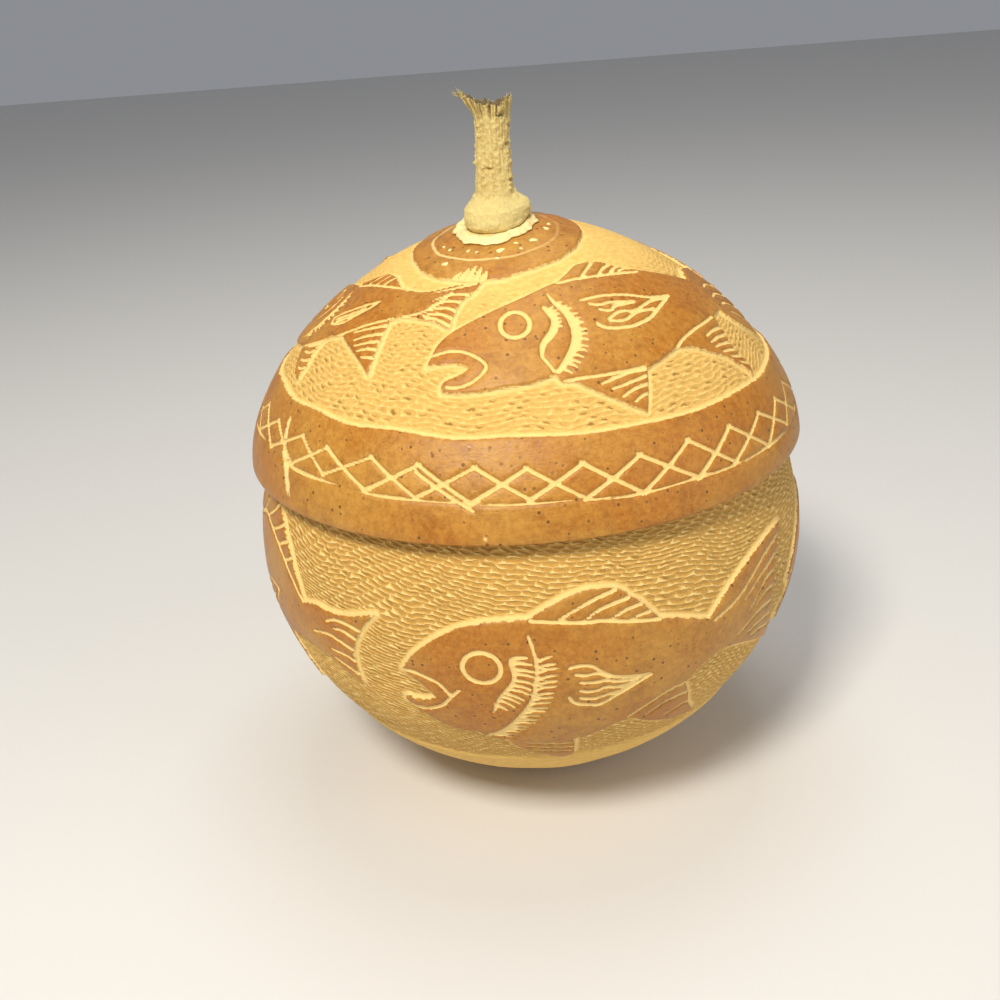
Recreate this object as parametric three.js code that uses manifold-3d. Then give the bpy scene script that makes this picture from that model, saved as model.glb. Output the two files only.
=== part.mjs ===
// Carved calabash box: a round gourd bowl with a wider gourd cap as its lid, and the gourd's own
// dried stalk glued on as a handle. Fish are left standing in brown skin where the pale ground
// around them has been cut away. Millimetres, +Z up, origin at the middle of the flat underside,
// and the front, where the best fish is, faces -Y.

import * as THREE from 'three';
import * as BufferGeometryUtils from 'three/addons/utils/BufferGeometryUtils.js';
import Module from 'manifold-3d';

const wasm = await Module();
wasm.setup();

// Driving dimensions of the shells
const LID_DIAMETER = 190;
const DOME_HEIGHT = 74;
const DOME_EXPONENT = 1.66;
const BOWL_DIAMETER = 192;
const WIDEST_HEIGHT = 88.5;
const BELLY_DEPTH = 91;
const BELLY_EXPONENT = 1.86;
const SHOULDER_RISE = 97;
const RIM_HEIGHT = 124.5;
const MOUTH_HEIGHT = 135;
const BOWL_WALL = 5;
const FLOOR_HEIGHT = 5.5;
const FLOOR_SHARE = 0.8;
const SEAT_GAP = 0.3;

// Driving dimensions of the carving
const CARVING_DEPTH = 1;
const SKIN_ROOT = 2.6;
const BAND_RISE = 28;
const LATTICE_LOW_RISE = 13;
const LATTICE_TOP_RISE = 21;
const DIAMONDS = 34;
const GROOVE_WIDTH = 1.6;
const GILL_WIDTH = 3;
const LATTICE_REACH = 2;
const CROWN = new THREE.Vector2(-5, -11);
const CROWN_RADIUS = 27.2;
const CROWN_RING_RADIUS = 19.5;
const LID_AXIS = 58;
const BOWL_AXIS = -12;

// Driving dimensions of the stalk and of the glue under it
const STALK_FOOT = new THREE.Vector2(-4.3, -9.2);
const STALK_HEIGHT = 36;
const STALK_LEAN = 1.2;
const STALK_RIDGES = 5;
const RIDGE_SHARE = 0.09;
const HORN_REACH = 3.3;
const HORN_RISE = 2;
const BREAK_RISE = 1;
const BREAK_HOLLOW = 4;
const GLUE_RADIUS = 13.4;
const GLUE_EDGE = 0.8;
const GLUE_BED = 1.6;
const GLUE_LIP = 1.2;
const BED_LIP = 0.6;
const BED_REACH = 8;

// How finely the round surfaces are cut into flat faces
const TURN_STEPS = 40;
const OUTER_ROW = 14;
const INNER_ROW = 15;
const CIRCLE_STEPS = 12;
const DISC_STEPS = 28;
const STALK_SIDES = 20;
const STALK_LEVELS = 14;
const GLUE_SIDES = 24;
const SAMPLES = 400;

const LID_RADIUS = LID_DIAMETER / 2;
const BOWL_RADIUS = BOWL_DIAMETER / 2;

// Shell outlines. Each is the skin's meridian as points from `t` = 0 to 1.

// One quarter of a superellipse: half width `a`, half height `b`, from the side (t = 0) to the pole.
function quarter(a, b, exponent, t) {
  const angle = t * Math.PI / 2;
  const power = 2 / exponent;
  const across = Math.max(Math.cos(angle), 0);
  return new THREE.Vector2(a * across ** power, b * Math.sin(angle) ** power);
}

// The dome of the lid, from its rim to its top.
function domePoint(t) {
  const { x, y } = quarter(LID_RADIUS, DOME_HEIGHT, DOME_EXPONENT, t);
  return new THREE.Vector2(x, RIM_HEIGHT + y);
}

// The belly of the bowl, from its widest line down to the pole, which the flat underside cuts off.
function bellyPoint(t) {
  const { x, y } = quarter(BOWL_RADIUS, BELLY_DEPTH, BELLY_EXPONENT, t);
  return new THREE.Vector2(x, WIDEST_HEIGHT - y);
}

// The shoulder of the bowl, from its widest line up to its mouth.
function shoulderPoint(t) {
  const mouth = Math.asin((MOUTH_HEIGHT - WIDEST_HEIGHT) / SHOULDER_RISE);
  const angle = t * mouth;
  return new THREE.Vector2(
    BOWL_RADIUS * Math.cos(angle),
    WIDEST_HEIGHT + SHOULDER_RISE * Math.sin(angle),
  );
}

// A meridian measured along its own length. `curves` run one after the other, and the length is
// counted from the start of the curve numbered `zero`. at(v, depth) is the point at length v,
// moved `depth` into the wall.
function meridian(curves, zero) {
  const points = [];
  let start = 0;
  curves.forEach((curve, i) => {
    if (i === zero) start = Math.max(points.length - 1, 0);
    for (let k = points.length ? 1 : 0; k <= SAMPLES; k += 1) points.push(curve(k / SAMPLES));
  });
  const lengths = [0];
  for (let i = 1; i < points.length; i += 1) {
    lengths.push(lengths[i - 1] + points[i].distanceTo(points[i - 1]));
  }
  const low = -lengths[start];
  const high = lengths[lengths.length - 1] + low;
  function at(v, depth = 0) {
    const length = THREE.MathUtils.clamp(v - low, 0, high - low);
    let i = lengths.findIndex((value) => value >= length);
    i = Math.max(i, 1);
    const share = (length - lengths[i - 1]) / (lengths[i] - lengths[i - 1]);
    const point = points[i - 1].clone().lerp(points[i], share);
    const along = points[i].clone().sub(points[i - 1]).normalize();
    return point.add(new THREE.Vector2(-along.y, along.x).multiplyScalar(depth));
  }
  return { at, low, high };
}

const dome = meridian([domePoint], 0);
const body = meridian([(t) => bellyPoint(1 - t), shoulderPoint], 1);

// The length along a meridian at which it reaches height z, found by halving.
function lengthAtHeight(line, z) {
  let low = line.low;
  let high = line.high;
  for (let i = 0; i < 40; i += 1) {
    const middle = (low + high) / 2;
    if (line.at(middle).y < z) low = middle;
    else high = middle;
  }
  return (low + high) / 2;
}

// The carved ground of the bowl at the height of the lid's rim is what the lid seats on, so the
// lid's wall is as thick as the room that is left between its outside and that seat.
const SEAT_RADIUS = body.at(lengthAtHeight(body, RIM_HEIGHT), CARVING_DEPTH).x;
const LID_WALL = LID_RADIUS - SEAT_RADIUS - SEAT_GAP;

// Fish, drawn in millimetres on the unrolled skin: x runs along the fish to its tail and y up the
// meridian, both from the fish's own middle. Each row is one smooth stretch, and rows meet in
// corners. All of them start at the upper lip and go round by the back and the tail.
const LID_FISH = {
  outline: [
    [[-46, -1], [-41, 8], [-28, 16], [-9, 23], [-1, 25]],
    [[-1, 25], [13, 31], [29, 29], [43, 21]],
    [[43, 21], [53, 15], [64, 8]],
    [[64, 8], [75, 10], [84, 6]],
    [[84, 6], [80, -8], [71, -22]],
    [[71, -22], [63, -11], [60, -6]],
    [[60, -6], [53, -6]],
    [[53, -6], [48, -15], [48, -28]],
    [[48, -28], [43, -19], [34, -12]],
    [[34, -12], [27, -9], [14, -12]],
    [[14, -12], [9, -25]],
    [[9, -25], [-1, -16], [-11, -9]],
    [[-11, -9], [-22, -12], [-35, -14], [-41, -12]],
    [[-41, -12], [-33, -9], [-30, -4]],
    [[-30, -4], [-36, 1], [-46, -1]],
  ],
  eye: { x: -21, y: 10.5, radius: 5.3 },
  gill: [[-7, 21], [-2, 6], [-11, -8]],
  fin: [[6, 16], [22, 16], [39, 9], [23, 3], [5, 3]],
};

const LID_FISH_LEFT = {
  outline: [
    [[-57, -3], [-50, 6], [-38, 12], [-25, 15]],
    [[-25, 15], [-20, 20], [-13, 25], [-3, 25], [7, 22]],
    [[7, 22], [22, 22], [34, 25], [50, 29]],
    [[50, 29], [45, 20], [42, 8]],
    [[42, 8], [33, 12], [19, 10]],
    [[19, 10], [17, 2], [20, -9]],
    [[20, -9], [9, -4], [1, 0]],
    [[1, 0], [-4, 0], [-10, -4]],
    [[-10, -4], [-9, -11], [-9, -20]],
    [[-9, -20], [-17, -15], [-21, -10]],
    [[-21, -10], [-35, -14], [-50, -13]],
    [[-50, -13], [-44, -9], [-41, -5]],
    [[-41, -5], [-47, -2], [-57, -3]],
  ],
  eye: { x: -37, y: 5, radius: 4.8 },
  gill: [[-25, 12], [-21, 2], [-27, -10]],
  fin: [[-15, 3], [-9, 9], [3, 15], [-2, 7], [-12, 2]],
};

const BOWL_FISH = {
  outline: [
    [[-57, 4], [-46, 16], [-29, 23], [-12, 24]],
    [[-12, 24], [4, 32], [24, 17]],
    [[24, 17], [43, 11]],
    [[43, 11], [60, 23], [83, 29]],
    [[83, 29], [75, 10], [77, -15]],
    [[77, -15], [57, -6], [43, -5], [35, -10]],
    [[35, -10], [36, -20], [46, -32]],
    [[46, -32], [30, -27], [15, -22]],
    [[15, -22], [-4, -29], [-30, -24], [-47, -19], [-59, -10]],
    [[-59, -10], [-50, -12], [-42, -4]],
    [[-42, -4], [-47, 2], [-57, 4]],
  ],
  eye: { x: -31, y: 7.5, radius: 6.2 },
  gill: [[-16, 18], [-14, 2], [-22, -13], [-31, -22]],
  fin: [[-5, 6], [6, 3], [21, 0], [11, -9], [-5, -8]],
};

const BOWL_FISH_LEFT = {
  outline: [
    [[-55, 4], [-46, 14], [-30, 21], [-16, 24]],
    [[-16, 24], [-2, 38], [12, 44], [30, 37], [40, 26]],
    [[40, 26], [45, 16]],
    [[45, 16], [60, 17], [78, 21]],
    [[78, 21], [67, 4], [66, -9]],
    [[66, -9], [52, -2], [27, -1], [20, -6]],
    [[20, -6], [22, -16], [28, -26]],
    [[28, -26], [14, -23], [2, -20]],
    [[2, -20], [-12, -26], [-34, -22], [-48, -17], [-57, -9]],
    [[-57, -9], [-49, -10], [-41, -4]],
    [[-41, -4], [-46, 2], [-55, 4]],
  ],
  eye: { x: -31, y: 7, radius: 6 },
  gill: [[-15, 17], [-13, 2], [-20, -12], [-28, -20]],
  fin: [[-4, 6], [6, 8], [23, 11], [14, -2], [-2, -6]],
};

// Where each fish swims: the azimuth of its middle in degrees, counted from the front towards +X,
// and how large it is.
const LID_SHOAL = [
  { fish: LID_FISH, azimuth: 18, scale: 1 },
  { fish: LID_FISH_LEFT, azimuth: -58, scale: 1 },
  { fish: LID_FISH_LEFT, azimuth: 134, scale: 0.75 },
  { fish: LID_FISH_LEFT, azimuth: -146, scale: 0.75 },
];
const BOWL_SHOAL = [
  { fish: BOWL_FISH, azimuth: 8, scale: 1 },
  { fish: BOWL_FISH_LEFT, azimuth: -78, scale: 1 },
  { fish: BOWL_FISH, azimuth: 97, scale: 1 },
  { fish: BOWL_FISH_LEFT, azimuth: 193, scale: 1 },
];

// Solids and booleans

function toSolid(geometry) {
  const bare = geometry.clone();
  bare.deleteAttribute('normal');
  bare.deleteAttribute('uv');
  const merged = BufferGeometryUtils.mergeVertices(bare, 1e-4);
  const index = Array.from(merged.index.array);
  const faces = [];
  for (let i = 0; i < index.length; i += 3) {
    const [a, b, c] = index.slice(i, i + 3);
    if (a !== b && b !== c && c !== a) faces.push(a, b, c);
  }
  return new wasm.Manifold(new wasm.Mesh({
    numProp: 3,
    vertProperties: Float32Array.from(merged.attributes.position.array),
    triVerts: Uint32Array.from(faces),
  }));
}

function toGeometry(solid) {
  const mesh = solid.getMesh();
  const geometry = new THREE.BufferGeometry();
  geometry.setAttribute('position', new THREE.BufferAttribute(mesh.vertProperties, 3));
  geometry.setIndex(new THREE.BufferAttribute(mesh.triVerts, 1));
  geometry.computeVertexNormals();
  return geometry;
}

function joined(solids) {
  return solids.reduce((sum, solid) => sum.add(solid));
}

// A body of revolution about Z, from a closed profile of points (radius, height).
function turned(profile) {
  const lathe = new THREE.LatheGeometry(profile, TURN_STEPS);
  lathe.rotateX(Math.PI / 2);
  return toSolid(lathe);
}

function indexed(points, faces) {
  const geometry = new THREE.BufferGeometry().setFromPoints(points);
  geometry.setIndex(faces);
  return geometry;
}

// The side faces of a skin over rings of points. A closed one runs from the last ring to the first.
function sideFaces(rings, closed) {
  const sides = rings[0].length;
  const faces = [];
  for (let i = 0; i < (closed ? rings.length : rings.length - 1); i += 1) {
    for (let j = 0; j < sides; j += 1) {
      const a = i * sides + j;
      const b = i * sides + (j + 1) % sides;
      const c = ((i + 1) % rings.length) * sides + (j + 1) % sides;
      const d = ((i + 1) % rings.length) * sides + j;
      faces.push(a, b, c, a, c, d);
    }
  }
  return faces;
}

// A solid over rings of points, with a fan on a middle point at each end.
function lofted(rings, bottom, top) {
  const sides = rings[0].length;
  const last = (rings.length - 1) * sides;
  const faces = sideFaces(rings, false);
  for (let j = 0; j < sides; j += 1) {
    const next = (j + 1) % sides;
    faces.push(last + sides, next, j, last + sides + 1, last + j, last + next);
  }
  return indexed([...rings.flat(), bottom, top], faces);
}

// Shells

// Equal steps of about `row` millimetres from one length of a meridian to another.
function steps(from, to, row) {
  const count = Math.max(1, Math.round(Math.abs(to - from) / row));
  return Array.from({ length: count + 1 }, (_, i) => from + (to - from) * i / count);
}

// A dome open below, `inside` into its wall on the inside. Outside, its wall is cut back to the
// depth `ground` above the length `band`, and is left uncut below it.
function domeShell(ground, inside, innerRow, band) {
  const inner = steps(dome.high, dome.low, innerRow).map((v) => dome.at(v, inside));
  const rim = band > 0 ? steps(dome.low, band, OUTER_ROW).map((v) => dome.at(v)) : [];
  const outer = steps(band, dome.high, OUTER_ROW).map((v) => dome.at(v, ground));
  inner[0].x = 0;
  inner[inner.length - 1].y = RIM_HEIGHT;
  outer[outer.length - 1].x = 0;
  return turned([...inner, ...rim, ...outer]);
}

// The bowl from `outside` to `inside`, both depths into its wall, open at the mouth. Its floor is
// flat inside, and its underside is cut flat where it stands.
function bowlShell(outside, inside, innerRow, floor) {
  const foot = lengthAtHeight(body, 0);
  const outer = steps(foot, body.high, OUTER_ROW).map((v) => body.at(v, outside));
  const inner = steps(body.high, foot, innerRow).map((v) => body.at(v, inside));
  outer[0].y = 0;
  outer[outer.length - 1].y = MOUTH_HEIGHT;
  inner[0].y = MOUTH_HEIGHT;
  const wall = inner.filter((point) => point.y > floor);
  const edge = new THREE.Vector2(wall[wall.length - 1].x * FLOOR_SHARE, floor);
  return turned([new THREE.Vector2(0, 0), ...outer, ...wall, edge, new THREE.Vector2(0, floor)]);
}

// Carving

// The point of the wall at an azimuth in radians, a length along the meridian, and a depth.
function wallPoint(line, turn, length, depth) {
  const { x: radius, y: height } = line.at(length, depth);
  return new THREE.Vector3(radius * Math.sin(turn), -radius * Math.cos(turn), height);
}

// Carries a point of an unrolled drawing onto the wall. The drawing's middle stands at `azimuth`
// degrees and at length `axis` of the meridian.
function onWall(line, azimuth, axis, scale, point, depth = 0) {
  const turn = THREE.MathUtils.degToRad(azimuth) + point.x * scale / line.at(axis).x;
  return wallPoint(line, turn, axis + point.y * scale, depth);
}

// The prism that a closed outline on the skin sweeps out when it grows away from the middle of
// the gourd. Cut with a layer of skin, it leaves a patch of that layer with this outline.
const MIDDLE = new THREE.Vector3(0, 0, 95);
const PRISM_INSIDE = 0.85;
const PRISM_OUTSIDE = 2.6;

function prism(outline, place) {
  const caps = THREE.ShapeUtils.triangulateShape(outline, []);
  const skin = outline.map(place);
  const count = skin.length;
  const points = [PRISM_INSIDE, PRISM_OUTSIDE].flatMap((grow) => skin.map(
    (point) => point.clone().sub(MIDDLE).multiplyScalar(grow).add(MIDDLE),
  ));
  const faces = caps.flatMap(([a, b, c]) => [c, b, a, a + count, b + count, c + count]);
  for (let i = 0; i < count; i += 1) {
    const next = (i + 1) % count;
    faces.push(i, next, next + count, i, next + count, i + count);
  }
  return toSolid(indexed(points, faces));
}

function vectors(list) {
  return list.map(([x, y]) => new THREE.Vector2(x, y));
}

// Points along one smooth stretch through the given ones.
function smooth(list) {
  if (list.length === 2) return vectors(list);
  return new THREE.SplineCurve(vectors(list)).getPoints(list.length);
}

// The closed, counter-clockwise outline of a fish, from its smooth stretches.
function closedOutline(rows) {
  const outline = rows.flatMap((row) => smooth(row).slice(0, -1));
  return THREE.ShapeUtils.isClockWise(outline) ? outline.reverse() : outline;
}

// The tool that cuts a V groove: a strip of three-cornered sections, two corners above the skin
// and one at the groove's bottom. An open strip is closed by its two end sections.
function grooveTool(sections, closed) {
  const faces = sideFaces(sections, closed);
  const last = 3 * (sections.length - 1);
  if (!closed) faces.push(2, 1, 0, last, last + 1, last + 2);
  return toSolid(indexed(sections.flat(), faces));
}

// The sections of a groove `width` wide at the skin along a drawn line.
function grooveSections(line, width, closed, place) {
  const count = line.length;
  return line.map((point, i) => {
    const before = closed ? line[(i + count - 1) % count] : line[Math.max(i - 1, 0)];
    const after = closed ? line[(i + 1) % count] : line[Math.min(i + 1, count - 1)];
    const along = after.clone().sub(before).normalize();
    const side = new THREE.Vector2(-along.y, along.x).multiplyScalar(width);
    return [
      place(point.clone().add(side), -CARVING_DEPTH),
      place(point.clone().sub(side), -CARVING_DEPTH),
      place(point, CARVING_DEPTH),
    ];
  });
}

// The V groove along one zigzag of the lattice. `phase` 0 has its first corner up, and 1 down.
function zigzag(phase) {
  const low = lengthAtHeight(dome, RIM_HEIGHT + LATTICE_LOW_RISE);
  const high = lengthAtHeight(dome, RIM_HEIGHT + LATTICE_TOP_RISE);
  const sections = Array.from({ length: DIAMONDS }, (_, i) => {
    const turn = i / DIAMONDS * 2 * Math.PI;
    const length = (i + phase) % 2 ? low : high;
    return [
      wallPoint(dome, turn, length + LATTICE_REACH, -CARVING_DEPTH),
      wallPoint(dome, turn, length - LATTICE_REACH, -CARVING_DEPTH),
      wallPoint(dome, turn, length, CARVING_DEPTH),
    ];
  });
  return grooveTool(sections, true);
}

// The ring scratched into the brown disc on top.
function crownGroove() {
  const sections = Array.from({ length: DISC_STEPS }, (_, i) => {
    const turn = i / DISC_STEPS * 2 * Math.PI;
    const corner = (radius, depth) => {
      const x = CROWN.x + radius * Math.cos(turn);
      const y = CROWN.y + radius * Math.sin(turn);
      return new THREE.Vector3(x, y, skinHeight(x, y) - depth);
    };
    return [
      corner(CROWN_RING_RADIUS - GROOVE_WIDTH, -CARVING_DEPTH),
      corner(CROWN_RING_RADIUS + GROOVE_WIDTH, -CARVING_DEPTH),
      corner(CROWN_RING_RADIUS, CARVING_DEPTH),
    ];
  });
  return grooveTool(sections, true);
}

// The upright plug that leaves the brown disc on top when it is cut with the skin.
function crownPrism() {
  const disc = new THREE.CylinderGeometry(CROWN_RADIUS, CROWN_RADIUS, DOME_HEIGHT, DISC_STEPS);
  disc.rotateX(Math.PI / 2);
  disc.translate(CROWN.x, CROWN.y, RIM_HEIGHT + DOME_HEIGHT);
  return toSolid(disc);
}

// The inner lines of a fish: the ring round its eye, its gill and the frame of its side fin.
function fishGrooves(line, axis, { fish, azimuth, scale }) {
  const place = (point, depth) => onWall(line, azimuth, axis, scale, point, depth);
  const { x, y, radius } = fish.eye;
  const eye = new THREE.EllipseCurve(x, y, radius, radius).getPoints(CIRCLE_STEPS).slice(0, -1);
  return [
    grooveTool(grooveSections(eye, GROOVE_WIDTH, true, place), true),
    grooveTool(grooveSections(smooth(fish.gill), GILL_WIDTH, false, place), false),
    grooveTool(grooveSections(vectors(fish.fin), GROOVE_WIDTH, false, place), false),
  ];
}

function fishPrism(line, axis, { fish, azimuth, scale }) {
  return prism(closedOutline(fish.outline), (point) => onWall(line, azimuth, axis, scale, point));
}

// Pieces

function lidGeometry() {
  const shell = domeShell(CARVING_DEPTH, LID_WALL, INNER_ROW, lengthAtHeight(dome, RIM_HEIGHT + BAND_RISE));
  const skin = domeShell(0, SKIN_ROOT, OUTER_ROW, 0);
  const patches = joined([crownPrism(), ...LID_SHOAL.map((entry) => fishPrism(dome, LID_AXIS, entry))]);
  const grooves = joined([
    zigzag(0),
    zigzag(1),
    crownGroove(),
    ...LID_SHOAL.flatMap((entry) => fishGrooves(dome, LID_AXIS, entry)),
  ]);
  return toGeometry(shell.add(skin.intersect(patches)).subtract(grooves));
}

function bowlGeometry() {
  const shell = bowlShell(CARVING_DEPTH, BOWL_WALL, INNER_ROW, FLOOR_HEIGHT);
  const skin = bowlShell(0, SKIN_ROOT, OUTER_ROW, SKIN_ROOT);
  const patches = joined(BOWL_SHOAL.map((entry) => fishPrism(body, BOWL_AXIS, entry)));
  const grooves = joined(BOWL_SHOAL.flatMap((entry) => fishGrooves(body, BOWL_AXIS, entry)));
  return toGeometry(shell.add(skin.intersect(patches)).subtract(grooves));
}

// Height of the lid's skin above the point (x, y).
function skinHeight(x, y) {
  const share = Math.min(Math.hypot(x, y) / LID_RADIUS, 1);
  return RIM_HEIGHT + DOME_HEIGHT * (1 - share ** DOME_EXPONENT) ** (1 / DOME_EXPONENT);
}

// The tilted plane that the stalk's foot stands on: it touches the skin under the foot's middle
// and follows its slope there.
function bedHeight(x, y) {
  const skin = (dx, dy) => skinHeight(STALK_FOOT.x + dx, STALK_FOOT.y + dy);
  const slopeX = (skin(BED_REACH, 0) - skin(-BED_REACH, 0)) / (2 * BED_REACH);
  const slopeY = (skin(0, BED_REACH) - skin(0, -BED_REACH)) / (2 * BED_REACH);
  const middle = skin(0, 0) + GLUE_BED + SEAT_GAP;
  return middle + slopeX * (x - STALK_FOOT.x) + slopeY * (y - STALK_FOOT.y);
}

// The dried bead of glue: an uneven disc whose underside follows the lid's skin, with a flat bed
// in its middle for the foot and a low uneven edge round it.
function glueGeometry() {
  const ring = (share, height) => Array.from({ length: GLUE_SIDES }, (_, j) => {
    const turn = j / GLUE_SIDES * 2 * Math.PI;
    const wide = -0.06 * Math.cos(turn);
    const uneven = 1 + wide + 0.05 * Math.sin(3 * turn + 0.6) + 0.03 * Math.sin(7 * turn);
    const radius = GLUE_RADIUS * share * (share > 0.8 ? uneven : 1);
    const x = STALK_FOOT.x + radius * Math.cos(turn);
    const y = STALK_FOOT.y + radius * Math.sin(turn);
    return new THREE.Vector3(x, y, height(x, y));
  });
  const under = (x, y) => skinHeight(x, y) + SEAT_GAP;
  const edge = (x, y) => under(x, y) + GLUE_EDGE;
  const lip = (x, y) => Math.max(bedHeight(x, y) + BED_LIP, under(x, y) + GLUE_LIP);
  const rings = [
    ring(0.5, under),
    ring(0.98, under),
    ring(1, edge),
    ring(0.86, lip),
    ring(0.78, bedHeight),
    ring(0.4, bedHeight),
  ];
  const { x, y } = STALK_FOOT;
  const bottom = new THREE.Vector3(x, y, under(x, y));
  const top = new THREE.Vector3(x, y, bedHeight(x, y));
  return lofted(rings, bottom, top);
}

// The stalk's mean radius at a share of its height: a bulging foot, a slim stem, a flared top.
const STALK_RADIUS = new THREE.SplineCurve(vectors([
  [0, 9.8], [0.06, 10.6], [0.14, 10.5], [0.21, 9.1], [0.29, 6.9], [0.42, 5.9], [0.62, 5.6],
  [0.8, 5.7], [0.9, 6.1], [1, 6.4],
]));

// How far along a stretch of the stalk a share of its height is, from 0 before `start` to 1 at `end`.
function along(share, start, end) {
  return THREE.MathUtils.smoothstep(share, start, end);
}

// The stalk's reach from its own middle at a share of its height, in a direction in radians: the
// mean radius with five soft ridges above the foot, and a horn that sticks out to the left on top.
function stalkReach(share, radius, turn) {
  const ridges = RIDGE_SHARE * along(share, 0.15, 0.3) * Math.cos(STALK_RIDGES * turn + 0.4);
  const left = Math.max(0, -Math.cos(turn)) ** 3;
  return radius * (1 + ridges) + HORN_REACH * left * along(share, 0.85, 1);
}

// The dried stalk, ring by ring. Its foot follows the tilted bed of glue, and its broken top rises
// at both sides and is hollow in the middle.
function stalkGeometry() {
  const base = bedHeight(STALK_FOOT.x, STALK_FOOT.y) + SEAT_GAP;
  const rings = Array.from({ length: STALK_LEVELS }, (_, i) => {
    const { x: share, y: radius } = STALK_RADIUS.getPoint(i / (STALK_LEVELS - 1));
    return Array.from({ length: STALK_SIDES }, (_, j) => {
      const turn = j / STALK_SIDES * 2 * Math.PI;
      const reach = stalkReach(share, radius, turn);
      const x = STALK_FOOT.x + STALK_LEAN * share + reach * Math.cos(turn);
      const y = STALK_FOOT.y + reach * Math.sin(turn);
      const horn = HORN_RISE * Math.max(0, -Math.cos(turn)) ** 3;
      const broken = (BREAK_RISE * Math.cos(2 * turn) + horn) * along(share, 0.8, 1);
      const tilt = (bedHeight(x, y) + SEAT_GAP - base) * (1 - along(share, 0, 0.3));
      return new THREE.Vector3(x, y, base + share * STALK_HEIGHT + broken + tilt);
    });
  });
  const top = base + STALK_HEIGHT - BREAK_HOLLOW;
  return lofted(
    rings,
    new THREE.Vector3(STALK_FOOT.x, STALK_FOOT.y, base),
    new THREE.Vector3(STALK_FOOT.x + STALK_LEAN, STALK_FOOT.y, top),
  );
}

// Materials

function gourdSkin() {
  return new THREE.MeshStandardMaterial({ color: 0xd9a552, roughness: 0.62, metalness: 0 });
}

function driedStalk() {
  return new THREE.MeshStandardMaterial({ color: 0xdcc07c, roughness: 0.9, metalness: 0 });
}

function driedGlue() {
  return new THREE.MeshStandardMaterial({ color: 0xf0dca4, roughness: 0.7, metalness: 0 });
}

function piece(name, geometry, material) {
  const mesh = new THREE.Mesh(geometry, material);
  mesh.name = name;
  return mesh;
}

const gourd = new THREE.Group();
gourd.add(
  piece('bowl', bowlGeometry(), gourdSkin()),
  piece('lid', lidGeometry(), gourdSkin()),
  piece('glue_collar', glueGeometry(), driedGlue()),
  piece('stem', stalkGeometry(), driedStalk()),
);

export default gourd;
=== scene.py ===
import math

import bpy
import numpy as np
from mathutils import Matrix, Vector


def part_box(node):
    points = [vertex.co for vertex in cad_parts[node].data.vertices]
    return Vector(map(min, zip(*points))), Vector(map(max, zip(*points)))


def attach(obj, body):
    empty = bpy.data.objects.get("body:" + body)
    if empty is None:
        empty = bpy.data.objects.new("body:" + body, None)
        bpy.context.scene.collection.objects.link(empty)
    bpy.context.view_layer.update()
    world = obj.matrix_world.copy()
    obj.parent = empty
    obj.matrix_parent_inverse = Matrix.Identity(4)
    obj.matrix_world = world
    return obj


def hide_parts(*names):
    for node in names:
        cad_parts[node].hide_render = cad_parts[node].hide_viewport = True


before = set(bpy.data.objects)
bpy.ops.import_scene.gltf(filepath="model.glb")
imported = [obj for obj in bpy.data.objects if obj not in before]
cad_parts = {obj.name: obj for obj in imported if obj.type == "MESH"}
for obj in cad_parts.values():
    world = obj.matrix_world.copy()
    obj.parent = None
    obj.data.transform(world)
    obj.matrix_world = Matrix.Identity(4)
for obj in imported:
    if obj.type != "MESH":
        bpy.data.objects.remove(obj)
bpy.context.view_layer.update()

bl_info = {
    "name": "Carved gourd with lid",
    "version": (1, 0, 0),
    "blender": (4, 5, 0),
    "location": "3D View > Sidebar > Gourd",
    "description": "A gouge-carved calabash bowl, its domed lid and the dried stalk on top",
    "category": "Object",
}

# Lengths are in millimetres until a mesh is made. Azimuths are in radians, counted from the front
# (-Y) towards +X. A meridian is measured along its own length: on the lid from the rim upwards,
# and on the bowl from its widest line, negative below it.
MM = 0.001
BODY = "root"
LID_LOW, LID_HIGH = (np.array(corner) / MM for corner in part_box("lid"))
BOWL_HIGH = np.array(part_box("bowl")[1]) / MM

RIM_HEIGHT = LID_LOW[2]
DOME_EXPONENT = 1.66
LID_WALL = 6.5
WIDEST_HEIGHT = 88.5
BELLY_DEPTH = 91.0
BELLY_EXPONENT = 1.86
SHOULDER_RISE = 97.0
MOUTH_HEIGHT = BOWL_HIGH[2]
BOWL_WALL = 5.0
FLOOR_HEIGHT = 5.5
CROWN = np.array([-5.0, -11.0])
STALK_FOOT = np.array([-4.3, -9.2])
LID_AXIS = 58.0
BOWL_AXIS = -12.0

# How far the bowl's carving goes below the middle of its fish.
CARVED_BELOW = 45.0

# The lid's band: its radius, its upper edge, the corners of its lattice and the thin line below
# them, as lengths up from the rim.
BAND_RADIUS = 92.0
BAND_TOP = 30.5
LATTICE_TOP = 22.0
LATTICE_LOW = 12.3
LATTICE_CORNERS = 34
LINE_RISE = 11.6

# The stalk's bed, its lean, its torn horn and its broken top, and the bead of glue.
BED_REACH = 8.0
BED_RISE = 0.9
STALK_GAP = 0.1
STALK_LEAN = 1.2
HORN_REACH = 3.3
HORN_RISE = 2.0
BREAK_HOLLOW = 4.0
GLUE_RADIUS = 13.4
GLUE_GAP = 0.12

# Each row of chips starts this share of a chip further on, so that no columns form.
GOLDEN = 0.618034

# Uneven noise is laid out on a gourd of about this radius.
MEAN_RADIUS = 90.0

# How the chips are laid out, and how they look, on the lid and on the bowl.
LID_CELLS = {"around": 108, "pitch": 1.75, "lean": 0, "seed": 31}
BOWL_CELLS = {"around": 112, "pitch": 1.45, "lean": 55, "seed": 41}
# The chips' looks hold painted light: the second number is a painted highlight on their lower brims, and
# the third also sets painted shade in their scoops and on their upper lips.
LID_CHIPS = {"flecks": 0.62, "crest_highlight_strength": 0.3, "ridges": 0.5}
BOWL_CHIPS = {"flecks": 0.12, "crest_highlight_strength": 0.85, "ridges": 0.9}

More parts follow.
